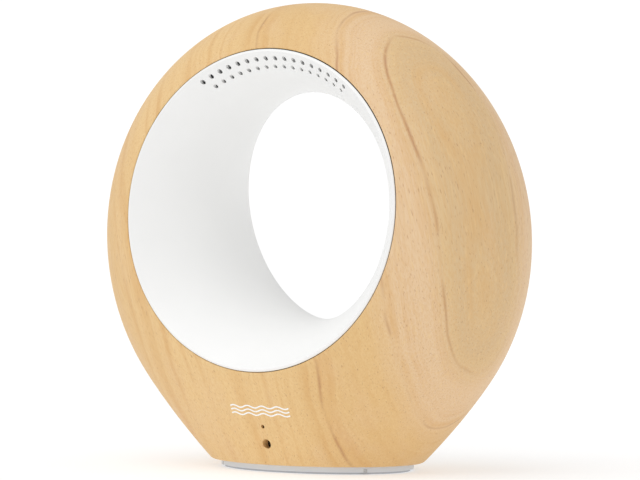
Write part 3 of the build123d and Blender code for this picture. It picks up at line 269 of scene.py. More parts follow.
def ray_end(turn, inset, floor):
    """Radius at which each ray from the opening's axis leaves the outline or meets the floor.

    Found by halving the stretch between the rim and a point that is surely outside.
    """
    body = bpy.context.scene.monitor_body
    near = np.full_like(turn, body.rim_radius)
    far = np.full_like(turn, 2 * body.half_width)
    for _ in range(HALVINGS):
        middle = (near + far) / 2
        level = opening_level() + middle * np.sin(turn)
        across, _deep = section(level, inset)
        inside = (level > floor) & (level < SHELL_HIGH.z - inset) & (np.abs(middle * np.cos(turn)) < across)
        near = np.where(inside, middle, near)
        far = np.where(inside, far, middle)
    return near


def polar_points(radius, depth, turn):
    """Points from radius and depth round the opening's axis, as an array of x, y and z."""
    x = radius * np.cos(turn)
    z = opening_level() + radius * np.sin(turn)
    return np.stack([x, np.broadcast_to(depth, x.shape), z], axis=-1)


# ------------------------------------------------------------------------------ mesh making
def grid_faces(rows, columns):
    """Quads of a grid that closes on itself both ways."""
    row = np.arange(rows)[:, None]
    column = np.arange(columns)[None, :]
    below = (row + 1) % rows
    beside = (column + 1) % columns
    corners = np.broadcast_arrays(
        row * columns + column, below * columns + column, below * columns + beside, row * columns + beside
    )
    return np.stack(corners, axis=-1).reshape(-1, 4)


def prism_faces(pieces, sides):
    """Side quads and end caps of closed prisms whose points are ordered piece, end, side."""
    start = np.arange(pieces)[:, None] * 2 * sides
    corner = np.arange(sides)[None, :]
    beside = (corner + 1) % sides
    end = start + sides
    walls = np.stack([start + corner, start + beside, end + beside, end + corner], axis=-1)
    caps = np.concatenate([start + corner, end + corner])
    return walls.reshape(-1, 4).tolist() + caps.tolist()


def new_piece(name, points, faces):
    """A mesh object with its doubles merged and its faces turned outwards."""
    mesh = bpy.data.meshes.new(name)
    mesh.from_pydata(points.reshape(-1, 3).tolist(), [], faces)
    work = bmesh.new()
    work.from_mesh(mesh)
    bmesh.ops.remove_doubles(work, verts=work.verts, dist=MERGE_DISTANCE)
    bmesh.ops.recalc_face_normals(work, faces=work.faces)
    work.to_mesh(mesh)
    work.free()
    piece = bpy.data.objects.new(name, mesh)
    bpy.context.scene.collection.objects.link(piece)
    return piece


def cut(piece, cutter):
    """Takes the cutter's closed prisms out of a piece and drops the cutter."""
    modifier = piece.modifiers.new("cut", "BOOLEAN")
    modifier.operation = "DIFFERENCE"
    modifier.solver = "EXACT"
    modifier.object = cutter
    evaluated = piece.evaluated_get(bpy.context.evaluated_depsgraph_get())
    whole = piece.data
    piece.data = bpy.data.meshes.new_from_object(evaluated)
    piece.modifiers.clear()
    bpy.data.meshes.remove(whole)
    bpy.data.meshes.remove(cutter.data)


def smooth(piece):
    """Shades a piece smooth, apart from its sharp edges."""
    piece.data.polygons.foreach_set("use_smooth", np.ones(len(piece.data.polygons), dtype=bool))
    piece.data.set_sharp_from_angle(angle=SHARP_ANGLE)


def place(piece, slot, material):
    """Gives a finished piece its material and fixes it to the body."""
    piece.data.materials.clear()
    piece.data.materials.append(material)
    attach(piece, "root")


def rods(centres, directions, radii, start, end, sides):
    """Points of round rods.

    Formula: centre + direction times the distance + radius times (cosine times one side axis
    plus sine times the other), for both ends and every step round.
    """
    centres, directions = np.asarray(centres), np.asarray(directions)
    across = np.cross(directions, (0.31, 0.52, 0.80))
    across /= np.linalg.norm(across, axis=1, keepdims=True)
    other = np.cross(directions, across)
    turn = np.linspace(0, FULL_TURN, sides, endpoint=False)[:, None]
    circle = np.cos(turn) * across[:, None] + np.sin(turn) * other[:, None]
    ring = centres[:, None] + np.asarray(radii)[:, None, None] * circle
    travel = np.array([start, end])[None, :, None, None] * directions[:, None, None]
    return ring[:, None] + travel


def oval_prism(centre, straight, half_across, half_deep, along, travel, sides):
    """Points of an oval or slot-shaped prism.

    Formula: half_across times the cosine, plus a straight run on each side, by half_deep times
    the sine, carried from one end of its travel to the other.
    """
    turn = np.linspace(0, FULL_TURN, sides, endpoint=False) + math.pi / sides
    first = half_across * np.cos(turn) + straight * np.sign(np.cos(turn))
    second = half_deep * np.sin(turn)
    if along == "y":
        ring = np.stack([first, np.zeros_like(turn), second], axis=-1)
        step = np.array([0.0, 1.0, 0.0])
    else:
        ring = np.stack([first, second, np.zeros_like(turn)], axis=-1)
        step = np.array([0.0, 0.0, 1.0])
    ends = np.array(travel)[:, None, None] * step
    return (np.asarray(centre) + ring + ends)[None]


def cutter_from(name, *prism_sets):
    """One cutter from several sets of prisms."""
    points, faces, offset = [], [], 0
    for prisms in prism_sets:
        pieces, _ends, sides, _axes = prisms.shape
        points.append(prisms.reshape(-1, 3))
        faces += [[corner + offset for corner in face] for face in prism_faces(pieces, sides)]
        offset += points[-1].shape[0]
    return new_piece(name, np.concatenate(points), faces)


# ------------------------------------------------------------------------------- wooden body
def quarter_curve(start, corner, end, steps):
    """Points of a quadratic curve that rounds a corner, without its last point."""
    share = np.linspace(0, 1, steps, endpoint=False)[None, :]
    return (1 - share) ** 2 * start + 2 * share * (1 - share) * corner + share**2 * end


def skin_half(turn, inset, floor, start_radius, steps, flat_steps):
    """Half of the inner or outer skin, from the middle plane to the opening, as radius and depth.

    Formula: the radius is start_radius plus the sine of a quarter turn's share of the way to
    the ray's end, so the points gather where the face turns edge-on; the depth is the face's
    there. Where a ray meets the floor instead, a flat run leads to the middle plane.
    """
    end = ray_end(turn, inset, floor)
    share = np.sin(np.linspace(1, 0, steps) * math.pi / 2)[None, :]
    radius = start_radius + (end - start_radius) * share
    depth = polar_depth(radius, turn, inset)
    flat = np.linspace(0, 1, flat_steps, endpoint=False)[None, :] * depth[:, :1]
    radii = np.concatenate([np.broadcast_to(end, flat.shape), radius], axis=1)
    return radii, np.concatenate([flat, depth], axis=1)


def body_turns(body):
    """Angles round the opening, evenly spaced on each side of the foot's two corners."""
    across, _deep = section(SHELL_LOW.z)
    corner = math.atan2(opening_level() - SHELL_LOW.z, float(across))
    under = round(body.around * (math.pi - 2 * corner) / FULL_TURN)
    upper = np.linspace(-corner, math.pi + corner, body.around - under, endpoint=False)
    lower = np.linspace(math.pi + corner, FULL_TURN - corner, under, endpoint=False)
    return np.concatenate([upper, lower])[:, None]


def wood_grid(body):
    """The hollow ring as a grid of angles by one closed loop.

    Formula: the loop's front half runs from the foot's middle out along the foot, up the face,
    round the rim's edge, along the bore and back down the inside; its rear half mirrors it.
    """
    turn = body_turns(body)
    rim = body.rim_radius
    outer_radius, outer_depth = skin_half(turn, 0, SHELL_LOW.z, rim + body.rim_round, body.across, 12)
    floor = SHELL_LOW.z + body.foot_ledge
    inner_radius, inner_depth = skin_half(turn, body.wall, floor, rim, body.across // 2, 6)
    rim_depth = polar_depth(rim, turn)
    edge_radius = quarter_curve(rim + body.rim_round, rim, rim, 7) + 0 * turn
    edge_depth = quarter_curve(outer_depth[:, -1:], rim_depth, rim_depth - body.rim_round, 7)
    bore_start = rim_depth - body.rim_round
    bore_depth = bore_start + (inner_depth[:, -1:] - bore_start) * np.array([[0, 0.5]])
    radius = np.concatenate(
        [outer_radius[:, :-1], edge_radius, np.full_like(bore_depth, rim), inner_radius[:, ::-1]], axis=1
    )
    depth = np.concatenate([outer_depth[:, :-1], edge_depth, bore_depth, inner_depth[:, ::-1]], axis=1)
    radius = np.concatenate([radius, radius[:, ::-1]], axis=1)
    depth = np.concatenate([-depth, depth[:, ::-1]], axis=1)
    return polar_points(radius, depth, turn)


def front_hole_cutters(body):
    """Rods for the two front holes, and for the lens's wider seat behind the larger one."""
    deep = 2 * body.half_depth
    lens_spot = (0, 0, (LENS_LOW.z + LENS_HIGH.z) / 2)
    pipe_spot = (0, 0, (PIPE_LOW.z + PIPE_HIGH.z) / 2)
    forward = (0, -1, 0)
    radii = [body.lens_hole, body.light_hole]
    holes = rods([lens_spot, pipe_spot], [forward, forward], radii, FRONT_CUT_START, deep, HOLE_SIDES)
    seat_radius = (SHROUD_HIGH.x - SHROUD_LOW.x) / 2 + body.inlet_gap
    seat_end = -SHROUD_LOW.y + body.inlet_gap
    seat = rods([lens_spot], [forward], [seat_radius], FRONT_CUT_START, seat_end, HOLE_SIDES)
    return holes, seat


def slot_cutter(body):
    """The slot that the rear bezel sits in."""
    half_height = BEZEL_SLOT_HEIGHT / 2 + body.inlet_gap
    straight = (BEZEL_SLOT_LENGTH - BEZEL_SLOT_HEIGHT) / 2
    middle = ((BEZEL_LOW.x + BEZEL_HIGH.x) / 2, 0, (BEZEL_LOW.z + BEZEL_HIGH.z) / 2)
    travel = (REAR_CUT_START, 2 * body.half_depth)
    return oval_prism(middle, straight, half_height, half_height, "y", travel, SLOT_SIDES)


def foot_cutter(body):
    """The oval hole in the foot."""
    across, deep = section(SHELL_LOW.z)
    inset = body.foot_wall - body.foot_round
    travel = (-CUT_PAST, body.foot_ledge + 2 * CUT_PAST)
    return oval_prism(
        (0, 0, SHELL_LOW.z), 0.0, float(across) - inset, float(deep) - inset, "z", travel, OVAL_SIDES
    )


def pilot_cutters(body):
    """The four screw holes in the foot."""
    spot_x = SCREWS_HIGH.x - SCREW_HEAD_RADIUS
    spot_y = SCREWS_HIGH.y - SCREW_HEAD_RADIUS
    spots = [(side * spot_x, end * spot_y, SHELL_LOW.z) for side in (-1, 1) for end in (-1, 1)]
    depth = min(SCREWS_HIGH.z - SHELL_LOW.z + CUT_PAST, body.foot_ledge - CUT_PAST)
    upward = [(0, 0, 1)] * len(spots)
    return rods(spots, upward, [body.pilot_hole] * len(spots), -CUT_PAST, depth, PILOT_SIDES)


def wood_cutter(body):
    """Every hole in the wood but its opening, as one cutter."""
    holes, seat = front_hole_cutters(body)
    return cutter_from("wood_cutter", holes, seat, slot_cutter(body), foot_cutter(body), pilot_cutters(body))


# ------------------------------------------------------------------------------------ liners
def flare(share, liner):
    """Liner's radius at a share of the way from its waist to its lip.

    Formula: an arc of a circle, one minus the root of one minus (sweep times share) squared,
    scaled to run from the waist to the lip.
    """
    lip = liner.outer_radius - liner.lip_width
    rise = (1 - np.sqrt(1 - (liner.sweep * share) ** 2)) / (1 - math.sqrt(1 - liner.sweep**2))
    return liner.waist_radius + (lip - liner.waist_radius) * rise


def flare_share(radius, liner):
    """The share at which the flare has a given radius."""
    lip = liner.outer_radius - liner.lip_width
    full = 1 - math.sqrt(1 - liner.sweep**2)
    rise = full * (radius - liner.waist_radius) / (lip - liner.waist_radius)
    return np.sqrt(1 - (1 - rise) ** 2) / liner.sweep


def lip_level(turn, liner):
    """Depth of the flare's end, just below the wood's face."""
    return polar_depth(liner.outer_radius - liner.lip_width, turn) - liner.lip_depth


def liner_grid(liner, side):
    """One liner as a grid of angles by a closed loop.

    Formula: the loop runs along the flare from the waist, over the lip and its rounded edge,
    then back behind the flare at the wall's thickness; its depth is the share of the way
    times the lip's depth at that angle.
    """
    turn = np.linspace(0, FULL_TURN, liner.around, endpoint=False)[:, None]
    outer = liner.outer_radius
    deep = lip_level(turn, liner)
    share = np.linspace(0, 1, liner.along)[None, :]
    land = np.linspace(outer - liner.lip_width, outer - liner.lip_round, 3)[None, 1:-1]
    land_depth = polar_depth(land, turn) - liner.lip_depth
    edge_start = polar_depth(outer - liner.lip_round, turn) - liner.lip_depth
    edge_depth = polar_depth(outer, turn) - liner.lip_depth
    edge_radius = quarter_curve(outer - liner.lip_round, outer, outer, 5)
    back_start = float(flare_share(outer - liner.wall, liner))
    back = np.linspace(back_start, 0, liner.along // 2)[None, :]
    edge = quarter_curve(edge_start, edge_depth, edge_depth - liner.lip_round, 5)
    radii = (flare(share, liner), land, edge_radius, flare(back, liner) + liner.wall)
    depths = (share * deep, land_depth, edge, back * deep)
    radius = np.concatenate([np.broadcast_to(part, (liner.around, part.shape[1])) for part in radii], axis=1)
    return polar_points(radius, side * np.concatenate(depths, axis=1), turn)


VENT_ROWS = (
    (60.1 * MM, 17, 0.95 * MM),
    (56.7 * MM, 16, 0.80 * MM),
)


POST_TURNS = np.radians((27.0, 66.0, 114.0, 153.0))   # the rear liner's screw posts
POST_CIRCLE = 60.0 * MM
POST_RADIUS = 2.5 * MM
VENT_SPARE = 0.3 * MM                                 # least plastic between a vent and a post


def clear_of_posts(radius, turn, hole_radius):
    """True for each vent on a circle that doesn't run into one of the posts."""
    across = radius * np.cos(turn)[:, None] - POST_CIRCLE * np.cos(POST_TURNS)
    rise = radius * np.sin(turn)[:, None] - POST_CIRCLE * np.sin(POST_TURNS)
    return (np.hypot(across, rise) >= POST_RADIUS + hole_radius + VENT_SPARE).all(axis=1)


def vent_cutter(liner, side):
    """Rods straight from front to back, in two rows centred on the top of the opening.

    The rear liner leaves out the vents that would run into its posts.
    """
    sets = []
    for radius, holes, hole_radius in VENT_ROWS:
        turn = math.pi / 2 + (np.arange(holes) - (holes - 1) / 2) * liner.vent_pitch
        if side > 0:
            turn = turn[clear_of_posts(radius, turn, hole_radius)]
        depth = lip_level(turn, liner) * flare_share(radius, liner)
        directions = np.broadcast_to((0, -side, 0), (len(turn), 3))
        centres = polar_points(np.full_like(turn, radius), side * depth, turn)
        radii = np.full(len(turn), hole_radius)
        sets.append(rods(centres, directions, radii, VENT_CUT_START, VENT_CUT_END, VENT_SIDES))
    return cutter_from("vent_cutter", *sets)


# ------------------------------------------------------------------------------ printed mark
def wave_strip(mark, row, steps=160):
    """One printed wave as a closed strip.

    Formula: along the wave, x runs evenly and the level swings by a sine; across it, the strip
    is a four-cornered section that stands ink proud of the face and sinks as far into it, and
    narrows to nothing in a round end.
    """
    share = np.linspace(0, 1, steps)[:, None]
    phase = FULL_TURN * mark.waves * share
    x = (share - 0.5) * mark.width
    level = SHELL_LOW.z + mark.rise + row * mark.spacing + mark.swing * np.sin(phase)
    slope = mark.swing * FULL_TURN * mark.waves / mark.width * np.cos(phase)
    steep = np.sqrt(1 + slope**2)
    from_end = (0.5 - np.abs(share - 0.5)) * mark.width
    bite = np.clip(1 - from_end / (mark.stroke / 2), 0, 1)
    half = mark.stroke / 2 * np.sqrt(1 - bite**2)
    side = np.array([[-1, 1, 1, -1]])
    lift = np.array([[1, 1, -1, -1]]) * mark.ink
    x = x - side * half * slope / steep
    level = level + side * half / steep
    return np.stack([x, -face_depth(x, level) - lift, level], axis=-1)


# -------------------------------------------------------------------------------- materials
def add(tree, kind, inputs=None, **attributes):
    """Adds a shader node with its settings, and fills or links its inputs."""
    node = tree.nodes.new(kind)
    for name, value in attributes.items():
        setattr(node, name, value)
    for key, value in (inputs or {}).items():
        if isinstance(value, bpy.types.NodeSocket):
            tree.links.new(value, node.inputs[key])
        else:
            node.inputs[key].default_value = value
    return node


def new_material(name):
    """An empty node material with its shader, and the object's own coordinates."""
    material = bpy.data.materials.new(name)
    material.use_nodes = True
    tree = material.node_tree
    shader = tree.nodes["Principled BSDF"]
    place_of = add(tree, "ShaderNodeTexCoord").outputs["Object"]
    return material, tree, shader, place_of


def opaque(rgb):
    """A colour with full alpha."""
    return (*rgb, 1.0)


def stretched(tree, place_of, sizes_mm):
    """Coordinates in which a pattern's grains have the given real sizes along x, y and z."""
    scale = [1 / (size * MM) for size in sizes_mm]
    return add(tree, "ShaderNodeMapping", {"Vector": place_of, "Scale": scale}).outputs["Vector"]


def noise(tree, place_of, sizes_mm, detail=2.0, roughness=0.5):
    """A cloudy pattern whose grains have the given real sizes."""
    vector = stretched(tree, place_of, sizes_mm)
    inputs = {"Vector": vector, "Scale": 1.0, "Detail": detail, "Roughness": roughness}
    return add(tree, "ShaderNodeTexNoise", inputs).outputs["Fac"]


def reach(tree, value, low, high, to_low=0.0, to_high=1.0):
    """Spreads a value's range from low and high to the given ends."""
    inputs = {"Value": value, "From Min": low, "From Max": high, "To Min": to_low, "To Max": to_high}
    return add(tree, "ShaderNodeMapRange", inputs, clamp=True).outputs["Result"]


def mixed(tree, factor, first, second, blend="MIX"):
    """Mixes two colours."""
    node = add(tree, "ShaderNodeMix", data_type="RGBA", blend_type=blend)
    for key, value in ((0, factor), (6, first), (7, second)):
        if isinstance(value, bpy.types.NodeSocket):
            tree.links.new(value, node.inputs[key])
        else:
            node.inputs[key].default_value = value
    return node.outputs[2]


def arithmetic(tree, operation, first, second):
    """One sum on two numbers or sockets."""
    return add(tree, "ShaderNodeMath", {0: first, 1: second}, operation=operation).outputs[0]


def raise_surface(tree, shader, height, depth_mm):
    """Bump from a height between 0 and 1 that stands for the given real depth."""
    bump = add(tree, "ShaderNodeBump", {"Height": height, "Distance": depth_mm * MM, "Strength": 1.0})
    tree.links.new(bump.outputs["Normal"], shader.inputs["Normal"])


PITH_LEAN = math.radians(14)             # the pith leans to the left as it rises
PITH_PLACE = (-104.3 * MM, 14 * MM, 0)   # brings the leaning pith onto the z axis
DARK_RINGS = (19.1, 40.3, 72.4)          # thin dark growth lines, in mm from the pith
AMBER_RINGS = (71.5, 107, 146)           # broader amber streaks, in mm from the pith
RING_REACH = 180                         # mm; where the tones from the pith outwards end


def ring_tones(tree, ring_mm, colours):
    """Slow change of tone from the pith outwards."""
    stops = (
        (0, colours.wood_heart), (17, colours.wood_heart), (24, colours.wood_rose), (34, colours.wood_rose),
        (50, colours.wood_honey), (78, colours.wood_honey), (92, colours.wood_light), (132, colours.wood_light),
        (150, colours.wood_honey), (180, colours.wood_honey),
    )
    ramp = add(tree, "ShaderNodeValToRGB", {"Fac": arithmetic(tree, "DIVIDE", ring_mm, RING_REACH)})
    points = ramp.color_ramp.elements
    while len(points) < len(stops):
        points.new(1.0)
    for point, (distance, tone) in zip(points, stops):
        point.position = distance / RING_REACH
        point.color = opaque(tone)
    return ramp.outputs["Color"]


def near_rings(tree, ring_mm, rings, width):
    """One at the given rings, falling to nothing at the given width in mm."""
    total = 0.0
    for ring in rings:
        away = arithmetic(tree, "ABSOLUTE", arithmetic(tree, "SUBTRACT", ring_mm, ring), 0.0)
        total = arithmetic(tree, "MAXIMUM", reach(tree, away, width, 0.0), total)
    return total


def ring_streaks(tree, ring_mm, grain_mm):
    """Streaks that depend only on the distance from the pith, of a given width."""
    place = arithmetic(tree, "DIVIDE", ring_mm, grain_mm)
    inputs = {"W": place, "Scale": 1.0, "Detail": 3.0, "Roughness": 0.55}
    return add(tree, "ShaderNodeTexNoise", inputs, noise_dimensions="1D").outputs["Fac"]


def turned_wood():
    """Rubberwood block, turned and carved, sanded and finished with a clear matt oil.

    The growth rings lie round a pith that stands inside the right flank and leans to the left, so
    they show as upright streaks on the front and as tall nested curves on the flank. Over them lie
    amber streaks, a few thin dark lines that come and go, fine fibres and short open pores.
    """
    colours = bpy.context.scene.monitor_colours
    material, tree, shader, place_of = new_material("turned_rubberwood")
    grain = add(tree, "ShaderNodeMapping", {
        "Vector": place_of, "Rotation": (0, PITH_LEAN, 0), "Location": PITH_PLACE,
    }).outputs["Vector"]
    cloud = add(tree, "ShaderNodeTexNoise", {
        "Vector": stretched(tree, grain, (32, 32, 70)), "Scale": 1.0, "Detail": 2.0, "Roughness": 0.5,
    }).outputs["Color"]
    middle = {0: cloud, 1: (0.5, 0.5, 0.5)}
    centred = add(tree, "ShaderNodeVectorMath", middle, operation="SUBTRACT").outputs[0]
    sway = add(tree, "ShaderNodeVectorMath", {0: centred, "Scale": 11 * MM}, operation="SCALE").outputs[0]
    moved = add(tree, "ShaderNodeVectorMath", {0: grain, 1: sway}, operation="ADD").outputs[0]
    flat = add(tree, "ShaderNodeVectorMath", {0: moved, 1: (1, 1, 0)}, operation="MULTIPLY").outputs[0]
    ring = add(tree, "ShaderNodeVectorMath", {0: flat}, operation="LENGTH").outputs["Value"]
    ring_mm = arithmetic(tree, "DIVIDE", ring, MM)

    patches = noise(tree, grain, (14, 14, 60), detail=3.0)
    come_and_go = noise(tree, grain, (30, 30, 24), detail=1.0)
    fibres = noise(tree, grain, (0.5, 0.5, 9), detail=3.0, roughness=0.6)
    flecks = noise(tree, grain, (1.3, 1.3, 16), detail=2.0)
    pores = noise(tree, grain, (0.45, 0.45, 3.0), detail=1.0)

    ground = ring_tones(tree, ring_mm, colours)
    local = reach(tree, come_and_go, 0.38, 0.62, 0.25, 1.0)
    narrow = reach(tree, ring_streaks(tree, ring_mm, 5), 0.46, 0.7, 0.0, 0.55)
    streaks = arithmetic(tree, "MULTIPLY", narrow, local)
    ground = mixed(tree, streaks, ground, opaque(colours.wood_amber))
    pale = reach(tree, ring_streaks(tree, ring_mm, 11), 0.50, 0.72, 0.0, 0.4)
    ground = mixed(tree, pale, ground, opaque(colours.wood_light))
    broken = reach(tree, patches, 0.35, 0.62)
    amber = arithmetic(tree, "MULTIPLY", near_rings(tree, ring_mm, AMBER_RINGS, 3.5), broken)
    ground = mixed(tree, arithmetic(tree, "MULTIPLY", amber, 0.6), ground, opaque(colours.wood_amber))
    ground = mixed(tree, reach(tree, patches, 0.50, 0.72, 0.0, 0.35), ground, opaque(colours.wood_rose))
    faded = reach(tree, come_and_go, 0.44, 0.62, 0.05, 0.7)
    thin = arithmetic(tree, "MULTIPLY", near_rings(tree, ring_mm, DARK_RINGS, 0.9), faded)
    ground = mixed(tree, thin, ground, opaque(colours.wood_line))
    ground = mixed(tree, reach(tree, fibres, 0.36, 0.66, 0.0, 0.36), ground, opaque(colours.wood_amber))
    ground = mixed(tree, reach(tree, flecks, 0.56, 0.72, 0.0, 0.35), ground, opaque(colours.wood_light))
    pits = reach(tree, pores, 0.64, 0.76, 0.0, 0.5)
    ground = mixed(tree, pits, ground, opaque(colours.wood_line))
    tree.links.new(ground, shader.inputs["Base Color"])
    tree.links.new(reach(tree, fibres, 0.3, 0.7, 0.46, 0.6), shader.inputs["Roughness"])
    shader.inputs["IOR"].default_value = 1.45
    height = arithmetic(tree, "SUBTRACT", arithmetic(tree, "MULTIPLY", fibres, 0.4), pits)
    raise_surface(tree, shader, height, 0.04)
    return material


def moulded(name, rgb, roughness, grain_mm, depth_mm, second=None, ior=1.5, drift=0.06):
    """A moulded or extruded plain finish.

    A slow drift of the colour and of the gloss, and an even fine grain from the mould.
    """
    material, tree, shader, place_of = new_material(name)
    second = second or tuple(channel * (1 - drift) for channel in rgb)
    slow = noise(tree, place_of, (22, 22, 22), detail=3.0)
    grain = noise(tree, place_of, (grain_mm,) * 3, detail=2.0)
    tone = mixed(tree, reach(tree, slow, 0.35, 0.65), opaque(rgb), opaque(second))
    tree.links.new(tone, shader.inputs["Base Color"])
    gloss = reach(tree, slow, 0.3, 0.7, roughness - 0.03, roughness + 0.05)
    tree.links.new(gloss, shader.inputs["Roughness"])
    shader.inputs["IOR"].default_value = ior
    raise_surface(tree, shader, grain, depth_mm)
    return material


def metal(name, rgb, roughness, sizes_mm, depth_mm):
    """A metal surface with fine lines or specks of the given real sizes in its gloss."""
    material, tree, shader, place_of = new_material(name)
    grain = noise(tree, place_of, sizes_mm, detail=3.0)
    dull = tuple(channel * 0.8 for channel in rgb)
    tone = mixed(tree, reach(tree, grain, 0.35, 0.7), opaque(rgb), opaque(dull))
    tree.links.new(tone, shader.inputs["Base Color"])
    tree.links.new(reach(tree, grain, 0.3, 0.7, roughness, roughness + 0.14), shader.inputs["Roughness"])
    shader.inputs["Metallic"].default_value = 1.0
    raise_surface(tree, shader, grain, depth_mm)
    return material


def liner_plastic():
    """ABS, injection moulded against a fine spark-eroded steel: bright white with a soft satin sheen."""
    # The mould's grain is under 0.1 mm; it is drawn 0.35 mm wide so that it just shows.
    rgb = tuple(bpy.context.scene.monitor_colours.liner_white)
    return moulded("satin_abs_white", rgb, 0.42, 0.35, 0.004, drift=0.012)


def base_plastic():
    """ABS base plate with a matt mould grain: pale grey, almost no shine."""
    rgb = tuple(bpy.context.scene.monitor_colours.base_grey)
    return moulded("matt_abs_pale_grey", rgb, 0.55, 0.5, 0.012, drift=0.03)


def white_nylon():
    """Natural white nylon connectors and carriers: slightly creamy and dull."""
    return moulded("moulded_nylon_white", linear("EEECE4"), 0.5, 0.4, 0.006)


def black_abs():
    """Black glass-filled ABS of frames, headers and chips: dark grey with a fine dry grain."""
    return moulded("moulded_abs_black", linear("1C1C1E"), 0.52, 0.3, 0.01, drift=0.25)


def foot_rubber():
    """Die-cut silicone rubber: soft black with a dusty bloom."""
    bloom = linear("3A3A39")
    return moulded("silicone_rubber_black", linear("232323"), 0.78, 0.8, 0.02, second=bloom, ior=1.41)


def pad_rubber():
    """Pale grey die-cut rubber pad under the base: matt and slightly dusty."""
    return moulded("silicone_rubber_pale", linear("C9C9CB"), 0.8, 0.8, 0.02, ior=1.41)


def lead_pvc():
    """Extruded PVC lead covering: smooth red with a low shine."""
    return moulded("extruded_pvc_red", linear("A8231B"), 0.4, 1.0, 0.003)


def flexible_film():
    """Polyimide and polyester film of the ribbon and light strip: off-white, thin and glossy."""
    return moulded("coated_film_white", linear("E9E6DA"), 0.3, 1.5, 0.003, second=linear("DDD7C4"))


def led_resin():
    """Phosphor-filled silicone over the light chips: yellow, cloudy and glossy."""
    material = moulded("phosphor_silicone_yellow", linear("EAD98A"), 0.25, 0.3, 0.002, ior=1.41)
    material.node_tree.nodes["Principled BSDF"].inputs["Subsurface Weight"].default_value = 0.3
    material.node_tree.nodes["Principled BSDF"].inputs["Subsurface Radius"].default_value = (MM, MM, 0.5 * MM)
    return material


def zinc_steel():
    """Bright zinc plated screws and socket shell: bluish white metal with a faint speckle."""
    return metal("zinc_plated_steel", linear("C4C6C8"), 0.28, (0.4, 0.4, 0.4), 0.002)


def pressed_tinplate():
    """Pressed tinplate cans: grey metal with rolling lines along x."""
    return metal("rolled_tinplate", linear("B9BABA"), 0.34, (8, 0.15, 0.15), 0.002)


def pin_gold():
    """Flash gold over brass pins and laser barrel: warm and smooth."""
    return metal("gold_flashed_brass", linear("D9B25A"), 0.22, (0.6, 0.6, 0.6), 0.001)


def sensor_gold():
    """Gold coated gas cell: warm metal with a soft bead-blasted surface."""
    return metal("blasted_gold_coating", linear("D8B667"), 0.36, (0.25, 0.25, 0.25), 0.004)


def solder_mask():
    """Glass-epoxy board under green solder mask: glossy green with lighter tracks of covered copper."""
    material, tree, shader, place_of = new_material("fr4_green_solder_mask")
    tracks = add(tree, "ShaderNodeTexBrick", {
        "Vector": stretched(tree, place_of, (5.0, 5.0, 2.5)), "Scale": 1.0, "Mortar Size": 0.05,
        "Color1": opaque(linear("0E5B34")),
        "Color2": opaque(linear("0C5230")),
        "Mortar": opaque(linear("1F7A48")),
    })
    weave = noise(tree, place_of, (0.5, 0.5, 0.5), detail=2.0)
    shade = reach(tree, weave, 0.3, 0.7, 0.0, 0.25)
    tone = mixed(tree, shade, tracks.outputs["Color"], opaque(linear("0A4226")))
    tree.links.new(tone, shader.inputs["Base Color"])
    tree.links.new(reach(tree, weave, 0.3, 0.7, 0.24, 0.36), shader.inputs["Roughness"])
    raise_surface(tree, shader, tracks.outputs["Fac"], 0.03)
    return material


def dust_mesh():
    """Plain-woven grey polyester dust mesh: grey threads, with painted shade (dark grey) in the openings
    between them for the shaded inside seen through.
    """
    # Real thread spacing is 0.15 mm; it is drawn at 0.5 mm so that the weave shows.
    material, tree, shader, place_of = new_material("woven_polyester_grey")
    spacing = 0.5 * MM
    threads = []
    for axis in ("X", "Z"):
        wave = add(tree, "ShaderNodeTexWave", {
            "Vector": place_of, "Scale": 1 / (spacing * 20), "Distortion": 0.0,
        }, wave_type="BANDS", bands_direction=axis, wave_profile="SIN")
        threads.append(wave.outputs["Fac"])
    woven = arithmetic(tree, "MAXIMUM", *threads)
    # the dark grey where there is no thread is painted shade, standing for the shaded inside behind the mesh
    tone = mixed(tree, reach(tree, woven, 0.35, 0.8), opaque(linear("2A2A2C")), opaque(linear("98989A")))
    tree.links.new(tone, shader.inputs["Base Color"])
    tree.links.new(reach(tree, woven, 0.2, 0.9, 0.85, 0.6), shader.inputs["Roughness"])
    raise_surface(tree, shader, woven, 0.08)
    return material


def clear_acrylic():
    """Polished clear acrylic light pipe: sees through, with a bright edge."""
    material = moulded("polished_acrylic_clear", linear("F4F7F7"), 0.1, 2.0, 0.001, ior=1.49)
    material.node_tree.nodes["Principled BSDF"].inputs["Transmission Weight"].default_value = 0.9
    return material


def lens_acrylic():
    """Dark dyed acrylic lens over the light sensor: nearly black, glossy."""
    deeper = linear("120C12")
    return moulded("dyed_acrylic_dark", linear("1A1216"), 0.12, 2.0, 0.001, second=deeper, ior=1.49)


def screen_ink():
    """Screen printed two-part white ink: flat, opaque and slightly uneven."""
    rgb = tuple(bpy.context.scene.monitor_colours.ink_white)
    return moulded("screen_ink_white", rgb, 0.5, 0.4, 0.003, drift=0.02)


def light_table():
    """Matt white acrylic table, softly lit from beneath, with a very faint ripple."""
    material = moulded("backlit_acrylic_white", linear("C8C8C8"), 0.7, 3.0, 0.005, drift=0.004)
    shader = material.node_tree.nodes["Principled BSDF"]
    shader.inputs["Emission Color"].default_value = (1.0, 1.0, 1.0, 1.0)
    shader.inputs["Emission Strength"].default_value = bpy.context.scene.monitor_studio.floor_glow
    shader.inputs["Specular IOR Level"].default_value = 0.2
    return material


FINISHES = {
    "maple_wood": turned_wood,
    "satin_white_plastic": liner_plastic,
    "pale_grey_plastic": base_plastic,
    "white_plastic": white_nylon,
    "black_plastic": black_abs,
    "dark_mesh": dust_mesh,
    "soft_rubber": foot_rubber,
    "pale_rubber": pad_rubber,
    "steel": zinc_steel,
    "pressed_steel": pressed_tinplate,
    "brass_pins": pin_gold,
    "gold_case": sensor_gold,
    "circuit_board": solder_mask,
    "strip_film": flexible_film,
    "led_resin": led_resin,
    "lead_cover": lead_pvc,
    "clear_plastic": clear_acrylic,
    "dark_lens": lens_acrylic,
}


